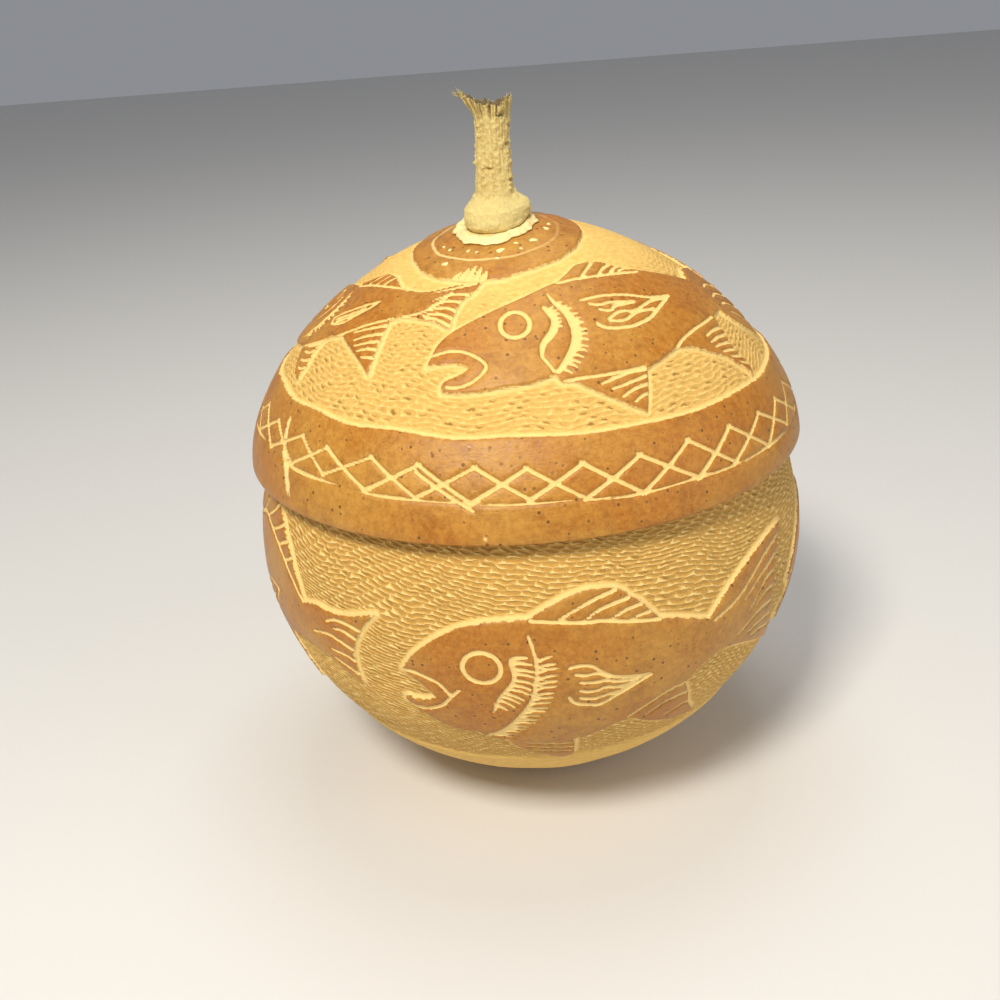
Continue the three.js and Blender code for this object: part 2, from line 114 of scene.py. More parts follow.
# The photograph's camera, solved from the object's outlines: its lens in mm on a 36 mm sensor, its
# place in metres, and its turns in degrees.
CAMERA_LENS = 43.2
CAMERA_PLACE = (0, -0.3978, 0.2766)
CAMERA_TURNS = (-1.496, -24.417, -4.512)


class GourdShape(bpy.types.PropertyGroup):
    """Sizes of the gourd that a user would change."""

    lid_diameter: bpy.props.FloatProperty(
        name="Lid diameter", description="Width of the lid across its rim",
        default=round(2 * LID_HIGH[0]) * MM, unit="LENGTH")
    bowl_diameter: bpy.props.FloatProperty(
        name="Bowl diameter", description="Width of the bowl at its widest line",
        default=round(2 * BOWL_HIGH[0]) * MM, unit="LENGTH")
    dome_height: bpy.props.FloatProperty(
        name="Dome height", description="Height of the lid above its rim",
        default=(LID_HIGH[2] - LID_LOW[2]) * MM, unit="LENGTH")
    carving_depth: bpy.props.FloatProperty(
        name="Carving depth", description="How far the pale ground lies below the skin",
        default=1.0 * MM, unit="LENGTH")
    gouge_depth: bpy.props.FloatProperty(
        name="Gouge depth", description="Depth of one gouge stroke in the ground",
        default=0.22 * MM, unit="LENGTH")
    crown_radius: bpy.props.FloatProperty(
        name="Crown radius", description="Radius of the brown disc on top of the lid",
        default=27.5 * MM, unit="LENGTH")
    stalk_height: bpy.props.FloatProperty(
        name="Stalk height", description="Height of the dried stalk above its bed of glue",
        default=37.0 * MM, unit="LENGTH")


class GourdColours(bpy.types.PropertyGroup):
    """Colours of the gourd, as linear values."""


class GourdStage(bpy.types.PropertyGroup):
    """The light that the gourd is shown in."""

    key_power: bpy.props.FloatProperty(
        name="Key light", description="Power of the large light at the front left",
        default=17.4, unit="POWER")
    fill_power: bpy.props.FloatProperty(
        name="Fill light", description="Power of the light on the right",
        default=2.4, unit="POWER")
    top_power: bpy.props.FloatProperty(
        name="Top light", description="Power of the light overhead",
        default=4.0, unit="POWER")
    room_light: bpy.props.FloatProperty(
        name="Room light", description="Strength of the even light from all sides",
        default=0.29, min=0.0)


def linear(code):
    """A hex sRGB colour as four linear values."""
    parts = [int(code[i:i + 2], 16) / 255 for i in (1, 3, 5)]
    return (*(c / 12.92 if c <= 0.04045 else ((c + 0.055) / 1.055) ** 2.4 for c in parts), 1.0)


HUES = {
    "skin": ("Rind", "Outer skin of the gourd, dried and rubbed", "#B46E17"),
    "skin_dark": ("Dark rind", "Where the skin dried darker", "#8A5013"),
    "skin_pale": ("Pale rind", "Where the skin is worn thin", "#C48F3A"),
    "pit": ("Pits", "Pin-sized pits in the skin", "#66380F"),
    "ground": ("Cut ground", "The pale wall laid bare by the gouge", "#EBC36E"),
    # Painted shade: this colour also darkens the gouge scoops and their upper lips, besides the darker
    # fibre of the ground.
    "ground_deep": ("Deep ground", "Bottom of a gouge stroke", "#BF8E3E"),
    # Painted highlight: this colour also lightens the lower brims of the gouge chips, besides the pale
    # worn skin, the rubbed ring and the outlines.
    "ground_crest": ("Crest", "Edges between strokes", "#F6D68C"),
    "fleck": ("Flecks", "Under-skin left between strokes", "#876426"),
    "inside": ("Inside", "Dry inner wall", "#B98E58"),
    "stalk": ("Stalk", "Corky dried stalk", "#FFE99C"),
    "stalk_fibre": ("Stalk fibre", "Brown fibres between the cork", "#C9A056"),
    "stalk_old": ("Weathered stalk", "Grey-brown broken end", "#6E6148"),
    "glue": ("Glue", "Dried bead of glue", "#F3DD9C"),
    "floor": ("Floor", "Plain pale floor", "#D8D6D2"),
}
for hue, (label, words, code) in HUES.items():
    GourdColours.__annotations__[hue] = bpy.props.FloatVectorProperty(
        name=label, description=words, default=linear(code), size=4, subtype="COLOR", min=0, max=1)


# Curves and noise as whole arrays


def smooth(x, low, high):
    """Smoothstep: 0 below `low`, 1 above `high`, and 3t^2 - 2t^3 between."""
    t = np.clip((x - low) / (high - low), 0, 1)
    return t * t * (3 - 2 * t)


def waves(azimuth, length, seed, size, count=14):
    """Smooth uneven noise of about -1 to 1 that closes round the gourd: a sum of `count` seeded
    sine waves in azimuth and length, each about `size` mm long."""
    rng = np.random.default_rng(seed)
    total = np.zeros_like(azimuth)
    for _ in range(count):
        heading = rng.uniform(0, 2 * np.pi)
        pace = 2 * np.pi / (size * rng.uniform(0.7, 1.5))
        turns = round(MEAN_RADIUS * pace * math.cos(heading))
        total += np.sin(turns * azimuth + pace * math.sin(heading) * length + rng.uniform(0, 2 * np.pi))
    return total / math.sqrt(count)


def spline(points, pieces=6):
    """A smooth curve through the points: uniform Catmull-Rom with its ends doubled."""
    p = np.asarray(points, float)
    if len(p) < 3:
        return p
    q = np.vstack([p[:1], p, p[-1:]])
    t = np.linspace(0, 1, pieces, endpoint=False)[None, :, None]
    a, b, c, d = (q[i:len(q) - 3 + i, None, :] for i in range(4))
    curve = 0.5 * (2 * b + (c - a) * t + (2 * a - 5 * b + 4 * c - d) * t ** 2
                   + (3 * b - a - 3 * c + d) * t ** 3)
    return np.vstack([curve.reshape(-1, p.shape[1]), p[-1:]])


class Meridian:
    """An outline turned about the upright axis, measured along its own length."""

    def __init__(self, points, zero):
        steps = np.linalg.norm(np.diff(points, axis=0), axis=1)
        self.lengths = np.concatenate([[0], np.cumsum(steps)])
        self.lengths -= self.lengths[zero]
        self.points = points
        self.low, self.high = self.lengths[0], self.lengths[-1]

    def at(self, length, depth=0.0):
        """Radius and height at a length, moved `depth` into the wall."""
        r, z = (np.interp(length, self.lengths, self.points[:, i]) for i in (0, 1))
        slope = np.gradient(self.points, self.lengths, axis=0)
        dr, dz = (np.interp(length, self.lengths, slope[:, i]) for i in (0, 1))
        size = np.maximum(np.hypot(dr, dz), 1e-9)
        return np.maximum(r - depth * dz / size, 0), z + depth * dr / size

    def length_at(self, height):
        """The length at which the outline reaches a height."""
        return np.interp(height, self.points[:, 1], self.lengths)


def quarter(a, b, exponent, count=600):
    """A quarter of a superellipse, (x / a)^n + (y / b)^n = 1, from its side to its pole."""
    angle = np.linspace(0, np.pi / 2, count)
    power = 2 / exponent
    across = np.maximum(np.cos(angle), 0)
    return np.stack([a * across ** power, b * np.sin(angle) ** power], 1)


def dome_meridian(shape):
    """The lid's outline: a quarter superellipse standing on the rim."""
    radius, height = shape.lid_diameter / 2 / MM, shape.dome_height / MM
    return Meridian(quarter(radius, height, DOME_EXPONENT) + [0, RIM_HEIGHT], 0)


def bowl_meridian(shape):
    """The bowl's outline: a quarter superellipse downwards from the widest line, and the arc of an
    ellipse upwards from it to the mouth."""
    radius = shape.bowl_diameter / 2 / MM
    belly = quarter(radius, BELLY_DEPTH, BELLY_EXPONENT) * [1, -1] + [0, WIDEST_HEIGHT]
    angle = np.linspace(0, math.asin((MOUTH_HEIGHT - WIDEST_HEIGHT) / SHOULDER_RISE), 200)[1:]
    shoulder = np.stack([radius * np.cos(angle), WIDEST_HEIGHT + SHOULDER_RISE * np.sin(angle)], 1)
    return Meridian(np.vstack([belly[::-1], shoulder]), len(belly) - 1)


# Meshes


def round_grid(rings):
    """A square grid of (2 rings + 1)^2 points laid over a disc: square ring number m becomes the
    circle of radius m. Returns each point's azimuth, its share of the radius, and the faces."""
    axis = np.arange(-rings, rings + 1.0)
    i, j = np.meshgrid(axis, axis, indexing="ij")
    m = np.maximum(abs(i), abs(j))
    wide = abs(i) >= abs(j)
    safe_i, safe_j = np.where(i == 0, 1, i), np.where(j == 0, 1, j)
    angle = np.where(wide, np.pi / 4 * j / safe_i, np.pi / 2 - np.pi / 4 * i / safe_j)
    angle += np.pi * np.where(wide, i < 0, j < 0)
    angle = np.where(m == 0, 0, angle)
    n = 2 * rings + 1
    corner = (np.arange(n - 1)[:, None] * n + np.arange(n - 1)).ravel()
    faces = np.concatenate([np.stack([corner, corner + n, corner + n + 1], 1),
                            np.stack([corner, corner + n + 1, corner + 1], 1)])
    azimuth = (angle.ravel() + np.pi) % (2 * np.pi) - np.pi
    return azimuth, m.ravel() / rings, faces


def border(azimuth, share):
    """The outermost circle of a round grid, in order of azimuth."""
    edge = np.flatnonzero(share > 1 - 1e-9)
    return edge[np.argsort(azimuth[edge], kind="stable")]


def rows_of_faces(rings):
    """Faces between rings of vertex numbers. Neighbours have the same count, or one has `k` times
    the other's, and then each coarse edge gets a fan of k + 1 triangles."""
    faces = []
    for lower, upper in zip(rings[:-1], rings[1:]):
        turned = len(lower) < len(upper)
        fine, coarse = (upper, lower) if turned else (lower, upper)
        k = len(fine) // len(coarse)
        count = len(coarse)
        start = np.arange(count) * k
        here, after = coarse, np.roll(coarse, -1)
        fan = []
        half = (k + 1) // 2
        for s in range(k):
            tip = here if s < half else after
            left, right = fine[(start + s) % len(fine)], fine[(start + s + 1) % len(fine)]
            fan.append(np.stack([left, right, tip], 1))
        fan.append(np.stack([fine[(start + half) % len(fine)], after, here], 1))
        block = np.concatenate(fan)
        faces.append(block[:, ::-1] if turned else block)
    return np.concatenate(faces)


def outward(points, faces):
    """The faces turned so that the closed mesh has a positive volume."""
    a, b, c = (points[faces[:, i]] for i in range(3))
    volume = np.einsum("ij,ij->i", a, np.cross(b, c)).sum() / 6
    return faces if volume > 0 else faces[:, ::-1]


def facing(points, faces, way):
    """The faces turned so that they look up on the whole (`way` 1) or down (-1)."""
    a, b, c = (points[faces[:, i]] for i in range(3))
    up = np.cross(b - a, c - a)[:, 2].sum()
    return faces if up * way > 0 else faces[:, ::-1]


def cap(middle, ring, turned):
    """A fan of faces from a middle point to the points of a ring."""
    fan = np.stack([np.full(len(ring), middle), np.roll(ring, -1), ring], 1)
    return fan[:, ::-1] if turned else fan


def make_piece(name, points, faces, material, values=(), plan=None):
    """A smooth-shaded object from points in mm and triangles. `values` are named numbers at the
    points, and `plan` is a UV map as two numbers at each face corner."""
    mesh = bpy.data.meshes.new(name)
    mesh.vertices.add(len(points))
    mesh.vertices.foreach_set("co", (points * MM).astype(np.float32).ravel())
    mesh.loops.add(faces.size)
    mesh.loops.foreach_set("vertex_index", faces.astype(np.int32).ravel())
    mesh.polygons.add(len(faces))
    mesh.polygons.foreach_set("loop_start", np.arange(0, faces.size, 3, dtype=np.int32))
    mesh.polygons.foreach_set("use_smooth", np.ones(len(faces), bool))
    for label, numbers in dict(values).items():
        mesh.attributes.new(label, "FLOAT", "POINT").data.foreach_set("value", numbers.astype(np.float32))
    if plan is not None:
        mesh.uv_layers.new(name="Gouges").data.foreach_set("uv", plan.astype(np.float32).ravel())
    mesh.update()
    mesh.validate()
    mesh.materials.append(material)
    piece = bpy.data.objects.new(name, mesh)
    bpy.context.scene.collection.objects.link(piece)
    return piece


# The carver's drawings, in mm on the unrolled skin: x runs along the fish to its tail and y up the
# meridian. Outline rows are smooth stretches that meet in corners. Lines keep their width, rays
# taper to their last point, and a comb is a number of ticks between a curve of feet and one of tips.
LID_FISH = {
    "outline": [
        [(-46, -1), (-45, 3), (-41, 8), (-28, 16), (-9, 23), (-1, 25)],
        [(-1, 25), (7, 28.5), (13.5, 31), (21, 31.2), (29, 29.5), (36, 25), (43, 21)],
        [(43, 21), (53, 15.5), (64, 8)],
        [(64, 8), (74, 10), (84, 7)],
        [(84, 7), (80, -8), (71, -23)],
        [(71, -23), (65, -16), (62, -11), (60, -6)],
        [(60, -6), (53, -6)],
        [(53, -6), (50, -12), (48, -18), (49, -24), (48, -28)],
        [(48, -28), (46, -24), (42, -18), (38, -15), (34, -11.5)],
        [(34, -11.5), (30, -9.5), (26, -9), (19, -11), (14, -12.2)],
        [(14, -12.2), (12.2, -17), (9, -25)],
        [(9, -25), (4, -20.5), (-1, -16), (-6, -12), (-9.5, -11.4)],
        [(-9.5, -11.4), (-11, -8.4)],
        [(-11, -8.4), (-16, -10.4), (-25, -11.6), (-33, -12.9), (-40.5, -13)],
        [(-40.5, -13), (-40.8, -10.5), (-39.5, -9), (-36, -7), (-33.5, -4.4)],
        [(-33.5, -4.4), (-38, -3.3), (-43, -3.8), (-46.5, -4.8)],
        [(-46.5, -4.8), (-46, -1)],
    ],
    "eye": (-20.8, 9.9, 5.0),
    "bands": [
        ([0.5, 1.3, 2.4, 3.0, 3.0, 2.5, 2.0, 1.5],
         [(-7, 21), (-5.5, 17), (-2.4, 12.4), (-1.4, 7.3), (-2.1, 2.7), (-4.4, -1.3), (-7, -4.6),
          (-10, -8)]),
        ([1.4, 2.4, 2.1, 2.5, 2.3, 1.8, 1.0],
         [(-9.8, 15.3), (-7.9, 12.5), (-7.3, 10), (-8.5, 6.4), (-11.1, 3.5), (-12.9, 1.2),
          (-13.7, -2.6)]),
    ],
    "lines": [
        (1.1, [(5.2, 16.1), (13.4, 16.2), (24, 14.2), (33.9, 10), (41.5, 8)]),
        (1.2, [(41.5, 8), (33, 5.8), (25.6, 3.5), (17.9, 2.5), (11.5, 3.2), (7.7, 4.6), (6.4, 6.3)]),
        (0.8, [(7.5, 14.1), (11.1, 12.8), (15.8, 12.8), (25.2, 11)]),
        (0.8, [(10, 11.1), (13.4, 9.8), (16.7, 11), (24.9, 10.5)]),
        (0.8, [(11, 7), (13.6, 7.9), (17, 8.6), (22.4, 7.6), (30.9, 8.9), (37.2, 8.3)]),
        (0.8, [(11.2, 6.1), (16.2, 5.2), (22.1, 6.6), (30.2, 6.3)]),
        (1.0, [(-0.6, 24.6), (6.7, 25.2), (15.7, 24.8), (29.3, 23.2), (41.1, 20.6)]),
        (1.0, [(51.6, -5.8), (39.4, -5.8), (31.3, -7.1), (26.6, -9.2)]),
        (0.8, [(-13.7, -2.4), (-12.3, -5), (-11.2, -7.6)]),
        (1.0, [(-45.9, -1.4), (-41.3, 0.4), (-36.4, 0.4), (-31.9, -1.7), (-29.4, -4.2), (-30.2, -6.8),
               (-32.9, -9.7), (-36.1, -11.3), (-39.5, -11.4)]),
        (0.7, [(-9, -11.3), (-4, -11), (2, -11.2), (13.6, -11.6)]),
    ],
    "rays": [
        (1.3, [(24.3, 30.6), (16.8, 27.8), (10.6, 24.8)]),
        (1.3, [(33.2, 27.8), (25.2, 26.4), (19.4, 24)]),
        (1.2, [(36.6, 25.6), (30.5, 25.1), (24.9, 23.4)]),
        (1.1, [(40.5, 23), (35.4, 23.9), (30.5, 22.6)]),
        (1.2, [(13.6, -12.2), (7.5, -12.2), (0.4, -13.8)]),
        (1.2, [(12.6, -14.4), (8.2, -15.1), (2.6, -16)]),
        (1.2, [(12, -17), (8.4, -17.4), (4.5, -19)]),
        (1.1, [(11, -19.8), (9.3, -20.1), (7, -21.4)]),
        (1.3, [(50.6, -10), (45.3, -9.3), (41, -9.6)]),
        (1.3, [(49.6, -12.8), (45, -11.9), (40.5, -12.2)]),
        (1.3, [(48.8, -15.6), (44.6, -14.4), (40.8, -14)]),
        (1.2, [(48.6, -18.4), (45, -17.2), (42.3, -16.6)]),
        (1.2, [(48.8, -21.2), (46.4, -20.2), (44.2, -19.2)]),
        (1.0, [(49.2, -24.2), (47.6, -23.2), (46.2, -22.2)]),
        (1.3, [(81, -3.4), (75.5, 0.5), (69, 1.5)]),
        (1.3, [(79, -8), (73, -3.6), (66, -2.4)]),
        (1.3, [(76.5, -13), (71.5, -8), (66.5, -6.4)]),
        (1.2, [(74, -18), (69.6, -12.6), (66.6, -10.2)]),
    ],
    "combs": [
        (15, 1.05, [(-5, 16.5), (-1.6, 12.4), (-0.2, 7.3), (-1, 2.7), (-3.4, -1.8), (-6.4, -5.4),
                    (-9, -8)],
         [(-3, 17.6), (0.8, 13), (2.2, 7.2), (1.4, 2), (-1, -3), (-4.2, -6.8), (-7.2, -9.6)]),
        (6, 1.0, [(-8.4, 15.2), (-6.8, 12.5), (-6.4, 10), (-7.4, 7)], [(-6.8, 15.6), (-5.2, 12.9),
                                                                       (-4.9, 9.9), (-5.8, 6.4)]),
    ],
}

LID_FISH_LEFT = {
    "outline": [
        [(-57, -3), (-50, 6), (-38, 12), (-25, 15.7)],
        [(-25, 15.7), (-20, 20), (-13, 25), (-3, 25.5), (7, 22.6)],
        [(7, 22.6), (18, 22), (25, 22.6), (37, 26.2), (50, 28.5)],
        [(50, 28.5), (46, 23), (43, 20), (41.6, 14), (42, 8.8)],
        [(42, 8.8), (36, 11), (29.6, 11.7), (22, 11.8), (17.8, 10.5)],
        [(17.8, 10.5), (17, 7), (18.2, 1.6), (20.7, -10)],
        [(20.7, -10), (15.7, -6.6), (8.5, -3.4), (-0.4, 0)],
        [(-0.4, 0), (-7.8, -2.9), (-9.4, -6), (-9.7, -10), (-8.3, -15), (-8.6, -20)],
        [(-8.6, -20), (-13, -18.5), (-18, -13.5), (-20, -11)],
        [(-20, -11), (-35, -15), (-50, -13)],
        [(-50, -13), (-44, -9), (-41, -5)],
        [(-41, -5), (-47, -2), (-57, -3)],
    ],
    "eye": (-37, 4.5, 4.6),
    "bands": [
        ([0.6, 1.8, 2.6, 2.0, 1.2], [(-25, 13), (-21.6, 8), (-21, 2), (-23.4, -4), (-27, -10)]),
        ([1.0, 2.2, 1.6, 0.8], [(-29, 9), (-27.4, 5), (-28.6, 0), (-31.6, -4)]),
    ],
    "lines": [
        (1.1, [(-13.4, 1.2), (-14.4, 3.4), (-7.4, 9), (-0.8, 13.1), (3.6, 15.2)]),
        (1.1, [(3.6, 15.2), (1.4, 11.8), (-2.5, 7.4), (-5.7, 3.8), (-10.9, 1.4), (-13.4, 1.2)]),
        (0.8, [(-12.4, 3.2), (-6, 7.4), (-1, 11.2)]),
        (0.8, [(-10.6, 2.8), (-5.4, 6), (-0.4, 10)]),
        (0.9, [(17.6, 10.4), (8.7, 6.4), (-0.2, 0.6), (-10.3, -5.7), (-19.4, -11)]),
        (0.9, [(-24.6, 15.5), (-10.9, 19.7), (5.8, 22), (14, 22)]),
        (0.9, [(-56, -2.8), (-49, -0.6), (-42, -2), (-38.5, -5.5), (-42, -9.5), (-49, -12)]),
        (0.8, [(21, 11.6), (27, 13.4), (33, 17.4), (37, 23)]),
    ],
    "rays": [
        (1.2, [(46.8, 27.2), (37.8, 25.1), (28.5, 22.6)]),
        (1.4, [(44.6, 22.6), (36.5, 21.9), (30.4, 19.3)]),
        (1.4, [(42.8, 19.2), (37.7, 19.4), (31, 17.2)]),
        (1.4, [(42, 15.6), (37.4, 16.6), (29.8, 14.8)]),
        (1.4, [(41.6, 12.6), (36.5, 14), (30, 13)]),
        (1.2, [(41.6, 9.8), (35.9, 12), (31, 11.9)]),
        (1.2, [(17.4, 7.6), (10.4, 5), (4.7, 2.2)]),
        (1.3, [(17.8, 4.4), (11.6, 2.3), (7.2, -0.4)]),
        (1.3, [(18, 1.4), (13.5, 0.1), (9.2, -2)]),
        (1.3, [(18.4, -1.4), (14.6, -2.1), (11.6, -3.4)]),
        (1.2, [(19.2, -4.4), (17, -4.6), (14.6, -5.2)]),
        (1.3, [(-9.4, -6.2), (-12.4, -8.2), (-15.4, -9.6)]),
        (1.3, [(-9.8, -9.4), (-12.4, -11), (-15.6, -11.6)]),
        (1.3, [(-9, -12.6), (-11.4, -13.8), (-14, -14.4)]),
        (1.2, [(-8.6, -15.6), (-10.4, -16.6), (-12.2, -16.8)]),
        (1.0, [(-14, 24.2), (-16, 21), (-17.4, 18.6)]),
        (1.0, [(-8.6, 25), (-10.2, 22.4), (-11.2, 20.2)]),
        (1.0, [(-3, 25), (-4.4, 23), (-5, 21.4)]),
    ],
    "combs": [
        (11, 1.05, [(-23, 11), (-19.8, 7), (-19.4, 2), (-21.6, -4), (-25, -9)],
         [(-21, 12.2), (-17.6, 7.6), (-17.2, 1.6), (-19.4, -5), (-23, -10.2)]),
    ],
}

BOWL_HEAD = {
    "outline": [
        [(-57, 3.2), (-52.6, 9.4), (-47, 14.7), (-41, 18.8), (-35, 21.5), (-27.7, 23.1), (-21, 23.7),
         (-15, 24)],
    ],
    "throat": [
        [(-36, -22), (-42.2, -21.7), (-46.7, -19.8), (-50.8, -16.6), (-55, -13.6), (-59, -10.6)],
        [(-59, -10.6), (-57.6, -8), (-54.6, -8.3), (-50.7, -8), (-46.5, -6.2)],
        [(-46.5, -6.2), (-49.6, -2.6), (-53, 1), (-57, 3.2)],
    ],
    "lines": [
        (1.2, [(-57, 3.2), (-53.6, 3.7), (-49.7, 2.4), (-45, 0), (-42, -4.6)]),
        (1.2, [(-58.6, -10.2), (-55.8, -12.2), (-51.3, -12.3), (-45.9, -9.8), (-43.3, -7.1),
               (-40.7, -3.9), (-38.8, -2)]),
        (0.8, [(-16, 18.4), (-14.9, 13.8), (-14.2, 9.4)]),
    ],
    "combs": [
        (19, 1.1, [(-14, 10.8), (-14.2, 6), (-14.7, 2), (-15.6, -3), (-18.4, -9.8), (-22.8, -16.1),
                   (-27.6, -21.3), (-33, -24.4)],
         [(-9.4, 12.2), (-8.2, 8), (-7.8, 3), (-9.2, -2.3), (-11.4, -8.4), (-14.6, -14.8),
          (-18.8, -20.4), (-25, -26.4)]),
        (10, 1.15, [(-20.8, 10.4), (-21.4, 7), (-21.1, 3.4), (-22.7, -0.8), (-26, -4.2), (-28.4, -7.8)],
         [(-15.6, 9.8), (-15.2, 5.4), (-15.6, 1), (-17.6, -3.8), (-21, -7.8), (-25.2, -10.4)]),
    ],
    "bands": [
        ([0.9, 1.1, 1.1, 1.1, 1.1, 0.9], [(-14.2, 10.4), (-14.7, 2), (-16.8, -6.4), (-22.8, -16.1),
                                          (-27.6, -21.3), (-33, -24.8)]),
        ([1.0, 1.6, 1.2, 1.2, 1.0], [(-17, 11.3), (-21.4, 10.6), (-21.2, 3.4), (-26, -4.2),
                                     (-28.8, -11)]),
    ],
}

BOWL_FISH = {
    "outline": [
        *BOWL_HEAD["outline"],
        [(-15, 24), (-11.5, 26.4), (-5, 29.5), (1, 31.2), (7, 31), (11.4, 30), (15, 27), (18.6, 24),
         (21, 21), (24, 17.6)],
        [(24, 17.6), (33, 14.7), (42, 11.2)],
        [(42, 11.2), (51, 19), (61.6, 24.5), (73.6, 27.8), (83, 28.3)],
        [(83, 28.3), (78, 21), (76, 13.7), (75.5, 6), (77, -1), (82, -16)],
        [(82, -16), (72, -11.6), (63.4, -7.8), (53, -4), (46.6, -4.2), (41, -6.7), (35.6, -12)],
        [(35.6, -12), (39, -19), (42.4, -27), (48, -34)],
        [(48, -34), (37, -32.5), (26, -28), (16.6, -22)],
        [(16.6, -22), (12.8, -22.8), (4.2, -26.9), (-3.4, -29.2)],
        [(-3.4, -29.2), (-2.4, -33), (-2.2, -42)],
        [(-2.2, -42), (-6.2, -43.4), (-12, -40.6), (-19, -36), (-24.5, -30.5), (-25.6, -27.2)],
        [(-25.6, -27.2), (-32, -25.4), (-36, -22)],
        *BOWL_HEAD["throat"],
    ],
    "eye": (-30.6, 7.6, 5.8),
    "bands": BOWL_HEAD["bands"],
    "lines": [
        *BOWL_HEAD["lines"],
        (1.1, [(-4.5, 6.2), (-1.8, 6.8), (2.3, 5.9), (5.1, 3.3), (10.4, 0.1), (21.5, -2.2)]),
        (1.2, [(-4.8, -5.4), (-3.4, -8), (0.5, -9.6), (5, -10.4), (10.8, -7.4), (16, -4.8),
               (21.5, -2.2)]),
        (1.0, [(-2.8, 3.6), (0.4, 2.8), (3.7, 3), (7.5, 0.8)]),
        (1.0, [(-1.5, 0.3), (2.8, -0.5), (6.6, -0.4), (11, -1.9), (17, -2.4)]),
        (1.0, [(-1.5, -3.2), (2.8, -4.2), (6.6, -3.2), (10.6, -4.2), (16, -3.2)]),
        (1.0, [(-1.5, -6.2), (2.9, -7.4), (6.8, -6.6), (11, -6.2), (15, -4.4)]),
        (1.2, [(-15.2, 23.4), (-7.7, 22.4), (1.1, 21.2), (5.7, 21), (14.4, 19), (24.2, 17.3)]),
        (1.0, [(44, 9.8), (54.5, 13.4), (63, 18.6), (70, 22.4), (80, 25)]),
        (1.0, [(16, -21.2), (23.1, -16.2), (29.3, -13), (35.4, -11.8)]),
    ],
    "rays": [
        (1.3, [(10.6, 29.9), (3.9, 28), (-3.1, 25), (-7.6, 22.6)]),
        (1.3, [(14.6, 26.8), (8.3, 25.4), (4.5, 24.2), (0.4, 21.6)]),
        (1.2, [(18.4, 23.8), (13.4, 23), (8.2, 20.8)]),
        (1.1, [(21, 20.6), (17.7, 20.4), (14.6, 19.4)]),
        (1.3, [(77.4, 19.6), (66.6, 16), (58, 11)]),
        (1.3, [(76.2, 14), (70.4, 13.6), (66.6, 10.8), (61, 5.6)]),
        (1.3, [(75.6, 8.4), (70.8, 8.6), (64.6, 6)]),
        (1.3, [(75.6, 2.8), (68, 3.2), (62.4, 1.4), (56, -1.6)]),
        (1.3, [(77, -3), (70.2, -2.2), (62, -3.4)]),
        (1.2, [(78.6, -8.6), (72, -6.6), (65.4, -6)]),
        (1.2, [(38.2, -18), (32.3, -18), (27.6, -19.4), (22.6, -23)]),
        (1.2, [(41.4, -25), (37.9, -24.6), (31.4, -27.2)]),
        (0.8, [(-2.6, -32.4), (-10, -31.4), (-20, -29.8)]),
        (0.8, [(-2.6, -35.4), (-10, -34.2), (-20, -32.4)]),
        (0.8, [(-2.6, -38.6), (-10, -37.4), (-17, -35.6)]),
    ],
    "combs": BOWL_HEAD["combs"],
}

BOWL_FISH_LEFT = {
    "outline": [
        [(-57, 3.2), (-52.6, 9.4), (-46, 15), (-35, 20.6), (-25, 23), (-16, 24)],
        [(-16, 24), (-9, 31), (-2, 38), (6, 42), (14, 43.6), (20, 43.4), (25.5, 41.4), (30, 38.4),
         (33, 34.6), (36.6, 31), (39.6, 26)],
        [(39.6, 26), (42.6, 21), (44.7, 15.6)],
        [(44.7, 15.6), (52.5, 17.4), (58, 17), (65, 17.7), (71.4, 19.4), (78, 21.4)],
        [(78, 21.4), (74, 17.4), (71.4, 13.7), (68.7, 9), (66.9, 4.2), (66.4, -1), (66.4, -8)],
        [(66.4, -8), (61, -5.8), (55, -2.4), (45, -0.4), (33, -1.4), (20, -6)],
        [(20, -6), (21.6, -14), (28, -26)],
        [(28, -26), (15, -23.4), (2, -20.6)],
        [(2, -20.6), (-10, -25.4), (-24, -25.6), (-36, -22)],
        *BOWL_HEAD["throat"],
    ],
    "eye": (-30.6, 7.6, 5.8),
    "bands": BOWL_HEAD["bands"],
    "lines": [
        *BOWL_HEAD["lines"],
        (1.1, [(-4.5, 6.2), (4, 8), (14, 11), (24.6, 12)]),
        (1.2, [(-4.8, -4), (0.5, -6), (8, -3.4), (16, 3), (24.6, 12)]),
        (1.0, [(-2.8, 3.6), (5, 5), (15, 8.6)]),
        (1.0, [(-2.2, 0.3), (6, 1), (16, 6)]),
        (1.2, [(-12, 28), (-2, 30), (10.2, 34.6), (21.5, 32.1), (31.3, 27.3), (36.1, 23.4),
               (40.1, 19.8), (44.4, 15.8)]),
        (1.0, [(19, -5.6), (10, -10), (2, -19.6)]),
    ],
    "rays": [
        (1.3, [(2.6, 40.4), (1, 35), (-3, 30.6)]),
        (1.3, [(12.4, 43.4), (10.4, 38), (6, 34)]),
        (1.3, [(24, 42), (19.3, 38.2), (13.4, 34.8)]),
        (1.3, [(30.6, 37.6), (26.2, 35), (20.6, 32.6)]),
        (1.3, [(34.4, 33), (31, 31.4), (27.2, 29.6)]),
        (1.2, [(37.8, 28.6), (35.4, 27.2), (32.4, 26.2)]),
        (1.3, [(71.6, 14), (65.2, 15.1), (60.4, 14.8), (56, 12.8)]),
        (1.3, [(69.4, 10.4), (64.1, 11.9), (59.4, 11.2)]),
        (1.3, [(67.4, 5.6), (61.6, 7.2), (55.9, 8), (48, 6.4)]),
        (1.3, [(66.6, 0.8), (62.8, 2.2), (56, 2.2)]),
        (1.3, [(66.6, -4.6), (62.4, -3), (56.4, -1.2)]),
        (1.2, [(22.6, -17), (17, -15), (10, -14)]),
        (1.2, [(25.4, -22), (19, -19.6), (10, -17.6)]),
    ],
    "combs": BOWL_HEAD["combs"],
}

